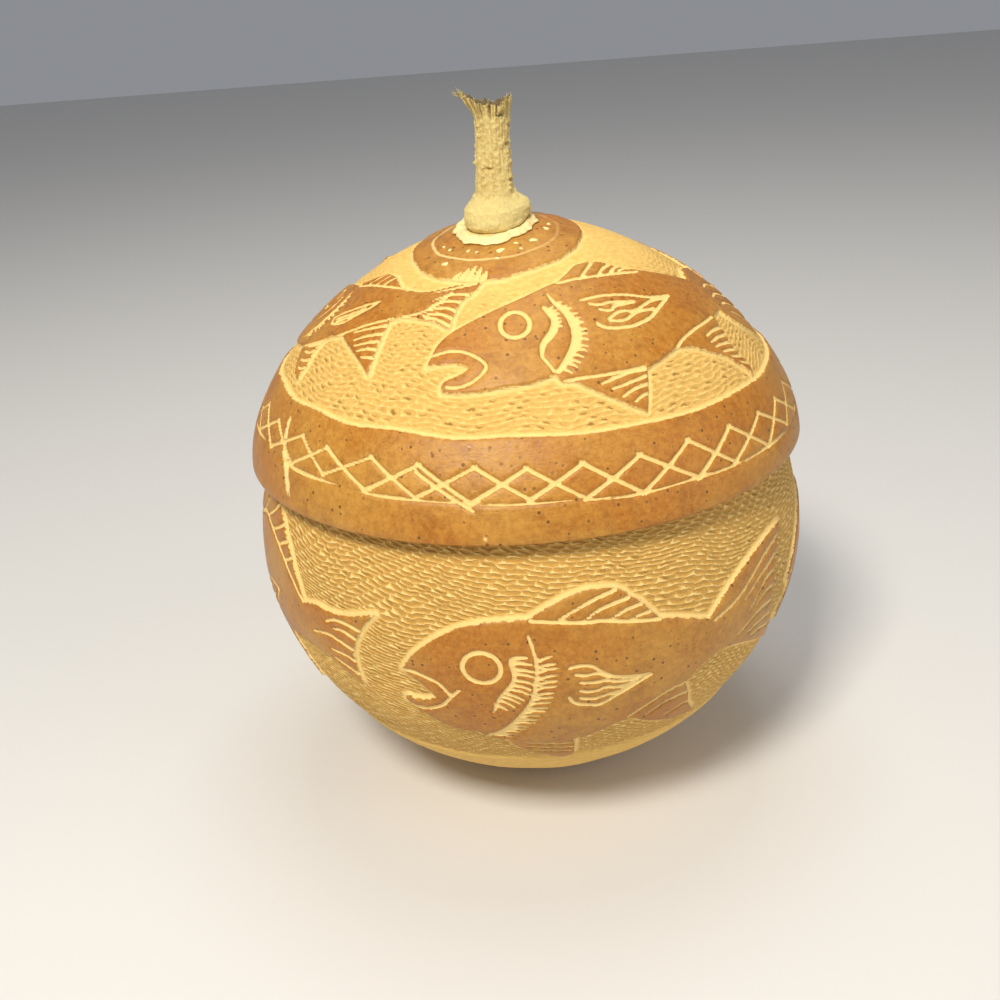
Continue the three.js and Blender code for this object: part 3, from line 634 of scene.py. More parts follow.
# Where each fish swims: the azimuth of its middle in degrees, and how large it is.
LID_SHOAL = [(LID_FISH, 18, 1), (LID_FISH_LEFT, -58, 1), (LID_FISH_LEFT, 134, 0.75),
             (LID_FISH_LEFT, -146, 0.75)]
BOWL_SHOAL = [(BOWL_FISH, 8, 1), (BOWL_FISH_LEFT, -78, 1), (BOWL_FISH, 97, 1), (BOWL_FISH_LEFT, 193, 1)]


# Carving as signed distances


def near(x, y, line, reach):
    """The points within `reach` of a line's box."""
    low, high = line.min(0) - reach, line.max(0) + reach
    return np.flatnonzero((x > low[0]) & (x < high[0]) & (y > low[1]) & (y < high[1]))


def past_edge(x, y, stretch, line, widths):
    """How far inside the edge of a stroke each point lies: half the stroke's width at the nearest
    place of its line, less the distance to that place. `stretch` is the true length of 1 mm of x."""
    best = np.full(len(x), -1e3)
    for (ax, ay), (bx, by), wide_a, wide_b in zip(line[:-1], line[1:], widths[:-1], widths[1:]):
        dx, dy = (bx - ax) * stretch, by - ay
        px, py = (x - ax) * stretch, y - ay
        t = np.clip((px * dx + py * dy) / np.maximum(dx * dx + dy * dy, 1e-9), 0, 1)
        gap = np.hypot(px - t * dx, py - t * dy)
        best = np.maximum(best, (wide_a + t * (wide_b - wide_a)) / 2 - gap)
    return best


def within(x, y, outline):
    """Whether each point lies inside a closed outline, by counting the edges to its right."""
    odd = np.zeros(len(x), bool)
    for (ax, ay), (bx, by) in zip(outline, np.roll(outline, -1, axis=0)):
        if ay == by:
            continue
        crosses = (ay > y) != (by > y)
        odd ^= crosses & (x < (bx - ax) * (y - ay) / (by - ay) + ax)
    return odd


def comb_strokes(count, width, feet, tips):
    """Ticks from a curve of feet to a curve of tips, evenly spread and each a little bent."""
    ends = []
    for curve in (feet, tips):
        line = spline(curve)
        steps = np.concatenate([[0], np.cumsum(np.linalg.norm(np.diff(line, axis=0), axis=1))])
        places = (np.arange(count) + 0.5 + 0.12 * np.sin(np.arange(count) * 2.3)) / count * steps[-1]
        ends.append(np.stack([np.interp(places, steps, line[:, i]) for i in (0, 1)], 1))
    foot, tip = ends
    way = tip - foot
    bent = (foot + tip) / 2 + 0.07 * np.stack([-way[:, 1], way[:, 0]], 1)
    return [([width, width * 0.9, width * 0.6], np.stack(row)) for row in zip(foot, bent, tip)]


def fish_strokes(fish):
    """Every engraved stroke of a fish as (widths, points)."""
    x, y, radius = fish["eye"]
    turn = np.linspace(0, 2 * np.pi, 33)
    eye = np.stack([x + radius * np.cos(turn), y + 0.96 * radius * np.sin(turn)], 1)
    strokes = [(np.full(33, 1.5), eye)]
    for widths, points in fish["bands"]:
        strokes.append((widths, points))
    for width, points in fish["lines"]:
        strokes.append(([max(width, 1.05)] * len(points), points))
    for width, points in fish["rays"]:
        strokes.append((np.linspace(width, 0.8, len(points)), points))
    for count, width, feet, tips in fish["combs"]:
        strokes += comb_strokes(count, width, feet, tips)
    return strokes


def carve_fish(meridian, azimuth, length, axis, shoal, skin, cut):
    """Adds fish to the signed distances: `skin` is positive inside standing skin and `cut` is
    positive inside an engraved stroke."""
    middle = meridian.at(axis)[0]
    radius = meridian.at(length)[0]
    for fish, degrees, scale in shoal:
        turn = (azimuth - math.radians(degrees) + np.pi) % (2 * np.pi) - np.pi
        x, y = turn * middle / scale, (length - axis) / scale
        stretch = np.maximum(radius / middle, 0.15)
        outline = np.vstack([spline(row)[:-1] for row in fish["outline"]])
        some = near(x, y, outline, 8)
        closed = np.vstack([outline, outline[:1]])
        gap = -past_edge(x[some], y[some], stretch[some], closed, np.zeros(len(closed)))
        signed = np.where(within(x[some], y[some], outline), gap, -gap) * scale
        skin[some] = np.maximum(skin[some], signed)
        for widths, points in fish_strokes(fish):
            line = spline(points)
            grown = np.interp(np.linspace(0, 1, len(line)), np.linspace(0, 1, len(widths)), widths)
            close = near(x, y, line, 5)
            inside = past_edge(x[close], y[close], stretch[close], line, grown) * scale
            cut[close] = np.maximum(cut[close], inside)


def carve_lattice(meridian, azimuth, length, cut):
    """Two crossed zigzags of hand-cut strokes round the band, with a thin line below them. Corner
    heights and places wander as a hand's do, and one stroke at the front left is cut twice."""
    rng = np.random.default_rng(5)
    count = LATTICE_CORNERS
    radius = meridian.at(length)[0]
    at = np.arange(count + 1) / count * 2 * np.pi + 0.01
    sway = rng.normal(0, 0.012, (2, count + 1))
    rise = rng.normal(0, 0.45, (2, count + 1))
    sway[:, -1], rise[:, -1] = sway[:, 0], rise[:, 0]
    for phase in (0, 1):
        turn = at + sway[phase]
        up = (np.arange(count + 1) + phase) % 2 == 0
        level = np.where(up, LATTICE_TOP - 2.4 * np.sin(at), LATTICE_LOW - 3.2 * np.sin(at))
        level += rise[phase]
        for k in range(count):
            repeats = 2 if (phase, k) == (0, 32) else 1
            width = rng.uniform(1.1, 1.35)
            for again in range(repeats):
                a = np.array([turn[k], level[k] - 2.4 * again])
                b = np.array([turn[k + 1], level[k + 1] - 2.0 * again])
                around = (azimuth - a[0] + np.pi) % (2 * np.pi) - np.pi
                line = np.array([[0, a[1]], [(b[0] - a[0]) * BAND_RADIUS, b[1]]])
                line += (line[0] - line[1]) * np.array([[0.03], [-0.03]])
                x = around * BAND_RADIUS
                close = near(x, length, line, 4)
                stretch = np.maximum(radius[close] / BAND_RADIUS, 0.15)
                inside = past_edge(x[close], length[close], stretch, line, [width, width * 0.85])
                cut[close] = np.maximum(cut[close], inside)
    under = LINE_RISE - 3.0 * np.sin(azimuth) + 0.5 * waves(azimuth, 0 * length, 11, 45)
    thin = 0.32 + 0.16 * waves(azimuth, 0 * length, 12, 30) - abs(length - under)
    np.maximum(cut, thin, out=cut)


def crown_distance(x, y, radius):
    """How far inside the brown disc on top a point lies, with the disc's hand-cut edge."""
    turn = np.arctan2(y - CROWN[1], x - CROWN[0])
    uneven = 0.5 * np.sin(3 * turn + 1) + 0.25 * np.sin(7 * turn) + 0.1 * np.sin(17 * turn + 2)
    return radius + uneven - np.hypot(x - CROWN[0], y - CROWN[1])


def crown_ring(x, y, radius):
    """How far outside the thin ring rubbed into the disc a point lies, in mm."""
    turn = np.arctan2(y - CROWN[1], x - CROWN[0])
    away = np.hypot(x - CROWN[0], y - CROWN[1])
    return away - radius * 0.72 - 0.5 * np.sin(2 * turn + 2) - 0.15 * np.sin(9 * turn)


def carve_crown(x, y, radius, cut):
    """The tapering ticks cut into the front edge of the disc."""
    for degrees, depth in ((-119, 2.8), (-114, 4.6), (-109, 5.6), (-104, 4.6), (-99, 3)):
        way = np.array([math.cos(math.radians(degrees)), math.sin(math.radians(degrees))])
        side = np.array([-way[1], way[0]])
        line = np.stack([CROWN + way * (radius + 1), CROWN + way * (radius - depth) + side * 0.9])
        close = near(x, y, line, 3)
        inside = past_edge(x[close], y[close], np.ones(len(close)), line, [2.3, 0.9])
        cut[close] = np.maximum(cut[close], inside)


def gouge_cells(azimuth, length, around, pitch, lean, seed):
    """Where a point lies among the gouge strokes: how many strokes along its row, and which row.
    The rows wander smoothly, as strokes cut by hand do, and fall by `lean` rows in one turn."""
    along = azimuth / (2 * np.pi) * around + 0.5 * waves(azimuth, length, seed, 60)
    row = length / pitch + lean * azimuth / (2 * np.pi) + 0.8 * waves(azimuth, length, seed + 1, 32)
    return along, row


def stroke_depth(along, row):
    """Depth of the strokes from 0 to 1: in each cell of each row a lens-shaped scoop with a round
    section. Each row starts a golden share of a stroke further on."""
    shift = along + np.floor(row) * GOLDEN
    place, across = shift - np.floor(shift), row - np.floor(row)
    across += 0.35 * (place - 0.5)
    return np.maximum(1 - (2 * across - 1) ** 2 - 0.85 * (2 * place - 1) ** 4, 0)


def relief(shape, skin, cut, gouged, along, row, azimuth, length):
    """Depth of the finished surface below the untouched skin: the ground one carving depth down,
    a V along every outline, a V for every stroke, and scoops in the ground."""
    ground = 1 - smooth(skin, -0.75, 0.35)
    depth = shape.carving_depth / MM * ground
    depth += 0.35 * np.exp(-((skin + 0.9) / 0.6) ** 2)
    depth += 0.6 * smooth(cut, -0.45, 0.25) * (1 - ground)
    open_ground = ground * smooth(-skin, 1.0, 2.6) * gouged
    depth += shape.gouge_depth / MM * open_ground * stroke_depth(along, row)
    return depth - 0.12 * waves(azimuth, length, 21, 38)


def corner_plan(faces, azimuth, length, **cells):
    """The gouge cells of every face corner. A face across the back's seam has its azimuths
    brought to one side first."""
    turn = azimuth[faces]
    turn = np.where((turn.max(1) - turn.min(1) > np.pi)[:, None] & (turn < 0), turn + 2 * np.pi, turn)
    along, row = gouge_cells(turn.ravel(), length[faces].ravel(), **cells)
    return np.stack([along, row], 1)


# Materials


def add(tree, kind, inputs=None, out=0, **settings):
    """Adds a shader node with its settings and inputs, and returns one of its outputs. An input is
    a number, a colour, or another node's output."""
    node = tree.nodes.new("ShaderNode" + kind)
    for name, value in settings.items():
        setattr(node, name, value)
    for key, value in (inputs or {}).items():
        if isinstance(value, bpy.types.NodeSocket):
            tree.links.new(value, node.inputs[key])
        else:
            node.inputs[key].default_value = value
    return node.outputs[out]


def new_material(name):
    """An empty node material and its tree."""
    material = bpy.data.materials.new(name)
    material.use_nodes = True
    material.node_tree.nodes.clear()
    return material, material.node_tree


def finish_material(tree, inputs):
    """Ends a material in one Principled shader."""
    shader = add(tree, "BsdfPrincipled", inputs)
    output = tree.nodes.new("ShaderNodeOutputMaterial")
    tree.links.new(shader, output.inputs["Surface"])


def size(millimetres):
    """The Scale of a noise on object coordinates whose features are this large."""
    return 1 / (millimetres * MM)


def rind_material(name, hues, flecks, crest_highlight_strength, ridges):
    """Dried calabash rind, carved with a gouge: a semi-gloss skin rubbed by hands, mottled orange
    brown with pin pits, and the matt, pale, fibrous wall where the gouge has cut through it.
    `flecks` is the share of chips with a dark fleck, `crest_highlight_strength` how strong the painted
    highlight on the chips' lower brims is, and `ridges` how deep the chips look, in the bump and in the
    painted shade in their scoops and on their upper lips."""
    material, tree = new_material(name)
    place = add(tree, "TexCoord", out="Object")
    cells = add(tree, "UVMap", uv_map="Gouges")
    skin = add(tree, "Attribute", out="Fac", attribute_name="skin")
    cut = add(tree, "Attribute", out="Fac", attribute_name="cut")
    worn = add(tree, "Attribute", out="Fac", attribute_name="worn")
    inside = add(tree, "Attribute", out="Fac", attribute_name="inside")
    gouged = add(tree, "Attribute", out="Fac", attribute_name="gouged")

    # A blade's small slips move every edge by up to a few tenths of a millimetre.
    slip = add(tree, "TexNoise", {"Vector": place, "Scale": size(1.6), "Detail": 3.0, "Roughness": 0.6})
    slip = add(tree, "MapRange", {"Value": slip, "From Min": 0.3, "From Max": 0.7, "To Min": -0.28,
                                  "To Max": 0.28})
    edge = add(tree, "Math", {0: skin, 1: slip}, operation="ADD")
    stroke = add(tree, "Math", {0: slip, 1: 0.35, 2: cut}, operation="MULTIPLY_ADD")
    is_skin = add(tree, "MapRange", {"Value": edge, "From Min": -0.12, "From Max": 0.12},
                  interpolation_type="SMOOTHSTEP")
    is_cut = add(tree, "MapRange", {"Value": stroke, "From Min": -0.14, "From Max": 0.04},
                 interpolation_type="SMOOTHSTEP")
    whole = add(tree, "Math", {0: 1.0, 1: is_cut}, operation="SUBTRACT")
    whole = add(tree, "Math", {0: is_skin, 1: whole}, operation="MULTIPLY")

    # Skin colour: broad clouds, fine mottling, pits.
    clouds = add(tree, "TexNoise", {"Vector": place, "Scale": size(38), "Detail": 4.0, "Roughness": 0.55})
    clouds = add(tree, "MapRange", {"Value": clouds, "From Min": 0.42, "From Max": 0.6})
    mottle = add(tree, "TexNoise", {"Vector": place, "Scale": size(1.9), "Detail": 6.0, "Roughness": 0.75})
    mottle = add(tree, "MapRange", {"Value": mottle, "From Min": 0.38, "From Max": 0.62})
    patches = add(tree, "TexNoise", {"Vector": place, "Scale": size(9), "Detail": 5.0,
                                     "Roughness": 0.65, "Distortion": 0.4})
    patches = add(tree, "MapRange", {"Value": patches, "From Min": 0.48, "From Max": 0.72, "To Max": 0.7})
    tone = add(tree, "Mix", {0: clouds, 6: hues.skin, 7: hues.skin_pale}, out=2, data_type="RGBA")
    tone = add(tree, "Mix", {0: patches, 6: tone, 7: hues.skin_dark}, out=2, data_type="RGBA")
    grain = add(tree, "Mix", {0: mottle, 6: hues.skin_dark, 7: hues.skin_pale}, out=2, data_type="RGBA")
    tone = add(tree, "Mix", {0: 0.42, 6: tone, 7: grain}, out=2, data_type="RGBA")
    pores = {"Vector": place, "Scale": size(2.9), "Randomness": 1.0}
    pore = add(tree, "TexVoronoi", pores, out="Distance")
    chance = add(tree, "TexVoronoi", pores, out="Color")
    chance = add(tree, "SeparateColor", {"Color": chance}, out=0)
    chance = add(tree, "MapRange", {"Value": chance, "From Min": 0.15, "From Max": 0.75})
    pit = add(tree, "MapRange", {"Value": pore, "From Min": 0.24, "From Max": 0.14, "To Max": 0.85})
    pit = add(tree, "Math", {0: pit, 1: chance}, operation="MULTIPLY")
    halo = add(tree, "MapRange", {"Value": pore, "From Min": 0.34, "From Max": 0.2, "To Max": 0.55})
    halo = add(tree, "Math", {0: halo, 1: chance}, operation="MULTIPLY")
    tone = add(tree, "Mix", {0: halo, 6: tone, 7: hues.skin_pale}, out=2, data_type="RGBA")
    tone = add(tree, "Mix", {0: pit, 6: tone, 7: hues.pit}, out=2, data_type="RGBA")
    rubbed = add(tree, "Math", {0: mottle, 1: 0.5, 2: worn}, operation="MULTIPLY_ADD")
    rubbed = add(tree, "MapRange", {"Value": rubbed, "From Min": 0.62, "From Max": 0.95})
    tone = add(tree, "Mix", {0: rubbed, 6: tone, 7: hues.ground_crest}, out=2, data_type="RGBA")
    ring = add(tree, "Attribute", out="Fac", attribute_name="ring")
    ring = add(tree, "Math", {0: slip, 1: 0.5, 2: ring}, operation="MULTIPLY_ADD")
    ring = add(tree, "Math", {0: ring}, operation="ABSOLUTE")
    ring = add(tree, "MapRange", {"Value": ring, "From Min": 0.7, "From Max": 0.2, "To Max": 0.75})
    to_right = add(tree, "SeparateXYZ", {0: place}, out=0)
    fading = add(tree, "MapRange", {"Value": to_right, "From Min": 0.014, "From Max": -0.012,
                                    "To Min": 0.25})
    ring = add(tree, "Math", {0: ring, 1: fading}, operation="MULTIPLY")
    tone = add(tree, "Mix", {0: ring, 6: tone, 7: hues.ground_crest}, out=2, data_type="RGBA")

    # The gouge strokes: cells of the plan, with a scoop in each and flecks of under-skin in some.
    tremor = add(tree, "TexNoise", {"Vector": place, "Scale": size(5), "Detail": 3.0, "Roughness": 0.6})
    tremor = add(tree, "MapRange", {"Value": tremor, "From Min": 0.3, "From Max": 0.7,
                                    "To Min": -0.32, "To Max": 0.32})
    along = add(tree, "SeparateXYZ", {0: cells}, out=0)
    row = add(tree, "SeparateXYZ", {0: cells}, out=1)
    row = add(tree, "Math", {0: row, 1: tremor}, operation="ADD")
    row_number = add(tree, "Math", {0: row}, operation="FLOOR")
    along = add(tree, "Math", {0: row_number, 1: GOLDEN, 2: along}, operation="MULTIPLY_ADD")
    along = add(tree, "Math", {0: tremor, 1: 0.5, 2: along}, operation="MULTIPLY_ADD")
    cell_number = add(tree, "Math", {0: along}, operation="FLOOR")
    across = add(tree, "Math", {0: row}, operation="FRACT")
    share = add(tree, "Math", {0: along}, operation="FRACT")
    name_tag = add(tree, "CombineXYZ", {0: cell_number, 1: row_number})
    luck = add(tree, "TexWhiteNoise", {"Vector": name_tag}, noise_dimensions="2D")
    tilt = add(tree, "Math", {0: luck, 1: 0.9, 2: 0.35 * ridges - 0.4}, operation="MULTIPLY_ADD")
    from_middle = add(tree, "Math", {0: share, 1: -0.5}, operation="ADD")
    across = add(tree, "Math", {0: tilt, 1: from_middle, 2: across}, operation="MULTIPLY_ADD")
    signed = add(tree, "Math", {0: across, 1: 2.0, 2: -1.0}, operation="MULTIPLY_ADD")
    centred = add(tree, "Math", {0: signed, 1: signed}, operation="MULTIPLY")
    ends = add(tree, "Math", {0: from_middle, 1: from_middle}, operation="MULTIPLY")
    ends = add(tree, "Math", {0: ends, 1: ends}, operation="MULTIPLY")
    scoop = add(tree, "Math", {0: 1.0, 1: centred}, operation="SUBTRACT")
    scoop = add(tree, "Math", {0: ends, 1: -13.6, 2: scoop}, operation="MULTIPLY_ADD")
    scoop = add(tree, "Math", {0: scoop, 1: 0.0}, operation="MAXIMUM")
    brim = add(tree, "MapRange", {"Value": scoop, "From Min": 0.45, "From Max": 0.0})
    upper = add(tree, "MapRange", {"Value": signed, "From Min": 0.15, "From Max": 0.6},
                interpolation_type="SMOOTHSTEP")
    ground_away = add(tree, "MapRange", {"Value": edge, "From Min": -1.2, "From Max": -2.4},
                      interpolation_type="SMOOTHSTEP")
    ground_away = add(tree, "Math", {0: ground_away, 1: gouged}, operation="MULTIPLY")
    scoop = add(tree, "Math", {0: scoop, 1: ground_away}, operation="MULTIPLY")

    # Ground colour: painted shade in the scoops and on their upper lips, a painted highlight on their
    # lower brims, and lighter along every outline.
    fibre = add(tree, "Mapping", {"Vector": place, "Scale": (1.0, 1.0, 3.5)})
    fibre = add(tree, "TexNoise", {"Vector": fibre, "Scale": size(2.4), "Detail": 4.0, "Roughness": 0.6})
    fibre = add(tree, "MapRange", {"Value": fibre, "From Min": 0.35, "From Max": 0.65, "To Max": 0.45})
    pale = add(tree, "Mix", {0: fibre, 6: hues.ground, 7: hues.ground_deep}, out=2, data_type="RGBA")
    lower = add(tree, "Math", {0: 1.0, 1: upper}, operation="SUBTRACT")
    # Painted highlight: the lower brim of every chip is lightened as if it caught light from above.
    painted_crest_highlight = add(tree, "Math", {0: brim, 1: lower}, operation="MULTIPLY")
    painted_crest_highlight = add(tree, "Math", {0: painted_crest_highlight, 1: crest_highlight_strength}, operation="MULTIPLY")
    painted_crest_highlight = add(tree, "Math", {0: painted_crest_highlight, 1: ground_away}, operation="MULTIPLY")
    # Painted shadow: the upper lip of every chip is darkened as if it lay in shade.
    painted_lip_shadow = add(tree, "Math", {0: brim, 1: upper}, operation="MULTIPLY")
    painted_lip_shadow = add(tree, "Math", {0: painted_lip_shadow, 1: ground_away}, operation="MULTIPLY")
    painted_lip_shadow = add(tree, "Math", {0: painted_lip_shadow, 1: ridges}, operation="MULTIPLY")
    # Painted shade: the scoop of every chip is darkened.
    painted_scoop_shade = add(tree, "Math", {0: scoop, 1: ridges}, operation="MULTIPLY")
    pale = add(tree, "Mix", {0: painted_scoop_shade, 6: pale, 7: hues.ground_deep}, out=2, data_type="RGBA")
    pale = add(tree, "Mix", {0: painted_crest_highlight, 6: pale, 7: hues.ground_crest}, out=2, data_type="RGBA")
    pale = add(tree, "Mix", {0: painted_lip_shadow, 6: pale, 7: hues.ground_deep}, out=2, data_type="RGBA")
    dash = add(tree, "MapRange", {"Value": centred, "From Min": 0.18, "From Max": 0.03},
               interpolation_type="SMOOTHSTEP")
    middle = add(tree, "Math", {0: share, 1: -0.45}, operation="ADD")
    middle = add(tree, "Math", {0: middle}, operation="ABSOLUTE")
    middle = add(tree, "MapRange", {"Value": middle, "From Min": 0.3, "From Max": 0.12})
    dash = add(tree, "Math", {0: dash, 1: middle}, operation="MULTIPLY")
    picked = add(tree, "MapRange", {"Value": luck, "From Min": 1.0 - flecks, "From Max": 1.0,
                                    "To Max": 0.9})
    dash = add(tree, "Math", {0: dash, 1: picked}, operation="MULTIPLY")
    dash = add(tree, "Math", {0: dash, 1: ground_away}, operation="MULTIPLY")
    pale = add(tree, "Mix", {0: dash, 6: pale, 7: hues.fleck}, out=2, data_type="RGBA")
    lip = add(tree, "MapRange", {"Value": edge, "From Min": -1.7, "From Max": -0.8,
                                 "To Max": 0.35 + 0.4 * ridges})
    pale = add(tree, "Mix", {0: lip, 6: pale, 7: hues.ground_crest}, out=2, data_type="RGBA")

    colour = add(tree, "Mix", {0: whole, 6: pale, 7: tone}, out=2, data_type="RGBA")
    colour = add(tree, "Mix", {0: inside, 6: colour, 7: hues.inside}, out=2, data_type="RGBA")

    # Height in millimetres for the bump: skin step, strokes, scoops, fine fibre and pits.
    step = add(tree, "MapRange", {"Value": edge, "From Min": -0.5, "From Max": 0.1, "To Max": 0.5},
               interpolation_type="SMOOTHSTEP")
    vee = add(tree, "MapRange", {"Value": stroke, "From Min": -0.25, "From Max": 0.25, "To Max": -0.35},
              interpolation_type="SMOOTHSTEP")
    vee = add(tree, "Math", {0: vee, 1: is_skin}, operation="MULTIPLY")
    height = add(tree, "Math", {0: step, 1: vee}, operation="ADD")
    height = add(tree, "Math", {0: scoop, 1: -0.55 * ridges, 2: height}, operation="MULTIPLY_ADD")
    height = add(tree, "Math", {0: fibre, 1: -0.12, 2: height}, operation="MULTIPLY_ADD")
    height = add(tree, "Math", {0: mottle, 1: 0.06, 2: height}, operation="MULTIPLY_ADD")
    height = add(tree, "Math", {0: pit, 1: -0.12, 2: height}, operation="MULTIPLY_ADD")
    height = add(tree, "Math", {0: ring, 1: -0.3, 2: height}, operation="MULTIPLY_ADD")
    bump = add(tree, "Bump", {"Height": height, "Strength": 0.8, "Distance": MM})

    gloss = add(tree, "MapRange", {"Value": mottle, "To Min": 0.3, "To Max": 0.46})
    rough = add(tree, "Mix", {0: whole, 2: 0.82, 3: gloss}, out=0, data_type="FLOAT")
    finish_material(tree, {
        "Base Color": colour,
        "Roughness": rough,
        "Specular IOR Level": 0.42,
        "IOR": 1.48,
        "Normal": bump,
    })
    return material


def stalk_material(name, hues):
    """Dried gourd stalk: corky, matt and straw coloured on its bumps, brown in the furrows between
    them, and weathered grey where it broke off."""
    material, tree = new_material(name)
    place = add(tree, "TexCoord", out="Object")
    rise = add(tree, "Attribute", out="Fac", attribute_name="rise")
    furrow = add(tree, "Attribute", out="Fac", attribute_name="furrow")
    drawn = add(tree, "Mapping", {"Vector": place, "Scale": (1.0, 1.0, 0.22)})
    fibre = add(tree, "TexNoise", {"Vector": drawn, "Scale": size(0.9), "Detail": 5.0, "Roughness": 0.7})
    fibre = add(tree, "MapRange", {"Value": fibre, "From Min": 0.36, "From Max": 0.64})
    cork = add(tree, "TexNoise", {"Vector": place, "Scale": size(1.6), "Detail": 6.0, "Roughness": 0.75})
    cork = add(tree, "MapRange", {"Value": cork, "From Min": 0.35, "From Max": 0.68})
    tone = add(tree, "Mix", {0: cork, 6: hues.stalk_fibre, 7: hues.stalk}, out=2, data_type="RGBA")
    bark = add(tree, "MapRange", {"Value": rise, "From Min": 0.12, "From Max": 0.32, "To Min": 0.15,
                                  "To Max": 0.5})
    tone = add(tree, "Mix", {0: bark, 6: hues.stalk, 7: tone}, out=2, data_type="RGBA")
    low = add(tree, "Math", {0: furrow, 1: 0.7}, operation="MULTIPLY")
    tone = add(tree, "Mix", {0: low, 6: tone, 7: hues.stalk_fibre}, out=2, data_type="RGBA")
    old = add(tree, "MapRange", {"Value": rise, "From Min": 0.74, "From Max": 0.98})
    old = add(tree, "Math", {0: old, 1: furrow}, operation="MULTIPLY")
    tone = add(tree, "Mix", {0: old, 6: tone, 7: hues.stalk_old}, out=2, data_type="RGBA")
    height = add(tree, "Math", {0: fibre, 1: 0.5, 2: cork}, operation="MULTIPLY_ADD")
    bump = add(tree, "Bump", {"Height": height, "Strength": 0.9, "Distance": 0.5 * MM})
    finish_material(tree, {
        "Base Color": tone,
        "Roughness": 0.88,
        "Specular IOR Level": 0.25,
        "Normal": bump,
    })
    return material


def glue_material(name, hues):
    """Dried white glue gone yellow: smooth, a little waxy, with patches of dust."""
    material, tree = new_material(name)
    place = add(tree, "TexCoord", out="Object")
    dust = add(tree, "TexNoise", {"Vector": place, "Scale": size(2.2), "Detail": 5.0, "Roughness": 0.7})
    dust = add(tree, "MapRange", {"Value": dust, "From Min": 0.5, "From Max": 0.75, "To Max": 0.6})
    tone = add(tree, "Mix", {0: dust, 6: hues.glue, 7: hues.stalk_fibre}, out=2, data_type="RGBA")
    bump = add(tree, "Bump", {"Height": dust, "Strength": 0.5, "Distance": 0.3 * MM})
    finish_material(tree, {
        "Base Color": tone,
        "Roughness": 0.5,
        "Subsurface Weight": 0.1,
        "Subsurface Scale": 0.002,
        "Normal": bump,
    })
    return material


# Pieces


def set_on_frame(piece, node):
    """The piece stands for a CAD node: it moves with the gourd, and the CAD node's part is hidden."""
    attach(piece, BODY)
    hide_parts(node)


def turned_points(radius, azimuth, height):
    """Points of a body of revolution from radius, azimuth and height."""
    return np.stack([radius * np.sin(azimuth), -radius * np.cos(azimuth), height], 1)


LID_RINGS = 152


def lid_mesh(shape):
    """The lid. Outside, a round grid whose centre is the dome's top, carved in depth. Inside, a
    coarser round grid one wall deeper, and a fan of faces joins the two under the rim."""
    meridian = dome_meridian(shape)
    azimuth, share, faces = round_grid(LID_RINGS)
    ring = np.rint(share * LID_RINGS)
    # Rings are close together over the fish and the lattice, and wider at the top and by the rim.
    length = np.interp(ring, [0, 44, 147, 151, 152], [meridian.high, 88, 8, 0.5, 0])
    r, z = meridian.at(length)
    x, y = r * np.sin(azimuth), -r * np.cos(azimuth)
    skin = BAND_TOP - 2.6 * np.sin(azimuth) + 0.35 * waves(azimuth, length, 3, 40) - length
    cut = np.full(len(length), -3.0)
    crown = shape.crown_radius / MM
    skin = np.maximum(skin, crown_distance(x, y, crown))
    carve_fish(meridian, azimuth, length, LID_AXIS, LID_SHOAL, skin, cut)
    carve_lattice(meridian, azimuth, length, cut)
    carve_crown(x, y, crown, cut)
    ring_gap = crown_ring(x, y, crown)
    worn = scars(azimuth, length)
    gouged = 1 - smooth(length, 66, 90)
    along, row = gouge_cells(azimuth, length, **LID_CELLS)
    depth = relief(shape, skin, cut, gouged, along, row, azimuth, length)
    depth = np.maximum(depth * smooth(length, -0.2, 1.5), 0) + 0.2 * (1 - smooth(length, 0, 0.5))
    r, z = meridian.at(length, depth)
    outer = turned_points(r, azimuth, z)

    inner_azimuth, inner_share, inner_faces = round_grid(LID_RINGS // 4)
    inner_length = meridian.high * (1 - inner_share)
    r, z = meridian.at(inner_length, LID_WALL)
    z = np.where(inner_share > 1 - 1e-9, RIM_HEIGHT, z)
    inner = turned_points(r, inner_azimuth, z)
    start = len(outer)
    points = np.vstack([outer, inner])
    rim = rows_of_faces([border(azimuth, share), start + border(inner_azimuth, inner_share)])
    parts = ((faces, 1), (rim, -1), (inner_faces + start, -1))
    faces = np.concatenate([facing(points, part, way) for part, way in parts])
    none = np.zeros(len(inner))
    values = {
        "skin": np.concatenate([np.clip(skin, -6, 6), none - 6]),
        "cut": np.concatenate([np.clip(cut, -3, 3), none - 3]),
        "worn": np.concatenate([worn, none]),
        "ring": np.concatenate([np.clip(ring_gap, -6, 6), none + 6]),
        "gouged": np.concatenate([gouged, none]),
        "inside": np.concatenate([np.zeros(start), none + 1]),
    }
    both = np.concatenate([azimuth, inner_azimuth]), np.concatenate([length, inner_length])
    return points, faces, values, corner_plan(faces, *both, **LID_CELLS)


def scars(azimuth, length):
    """Wear of the skin from 0 to 1: a scraped streak through the band at the left, two rubbed
    spots in front, and thin rub marks."""
    x = azimuth * BAND_RADIUS
    streak = np.array([(-94, 27), (-92, 21), (-90, 17), (-86, 12), (-83, 5.5)], float)
    spots = [(-12.7, 3.0, 0.5), (28, 5.4, 0.1)]
    wear = np.full(len(x), -5.0)
    some = near(x, length, streak, 5)
    wear[some] = past_edge(x[some], length[some], np.ones(len(some)), streak, [1.2, 2.6, 2.4, 2.6, 2.2])
    for px, py, radius in spots:
        wear = np.maximum(wear, radius - np.hypot(x - px, length - py))
    return smooth(wear, -1.2, 1.2)


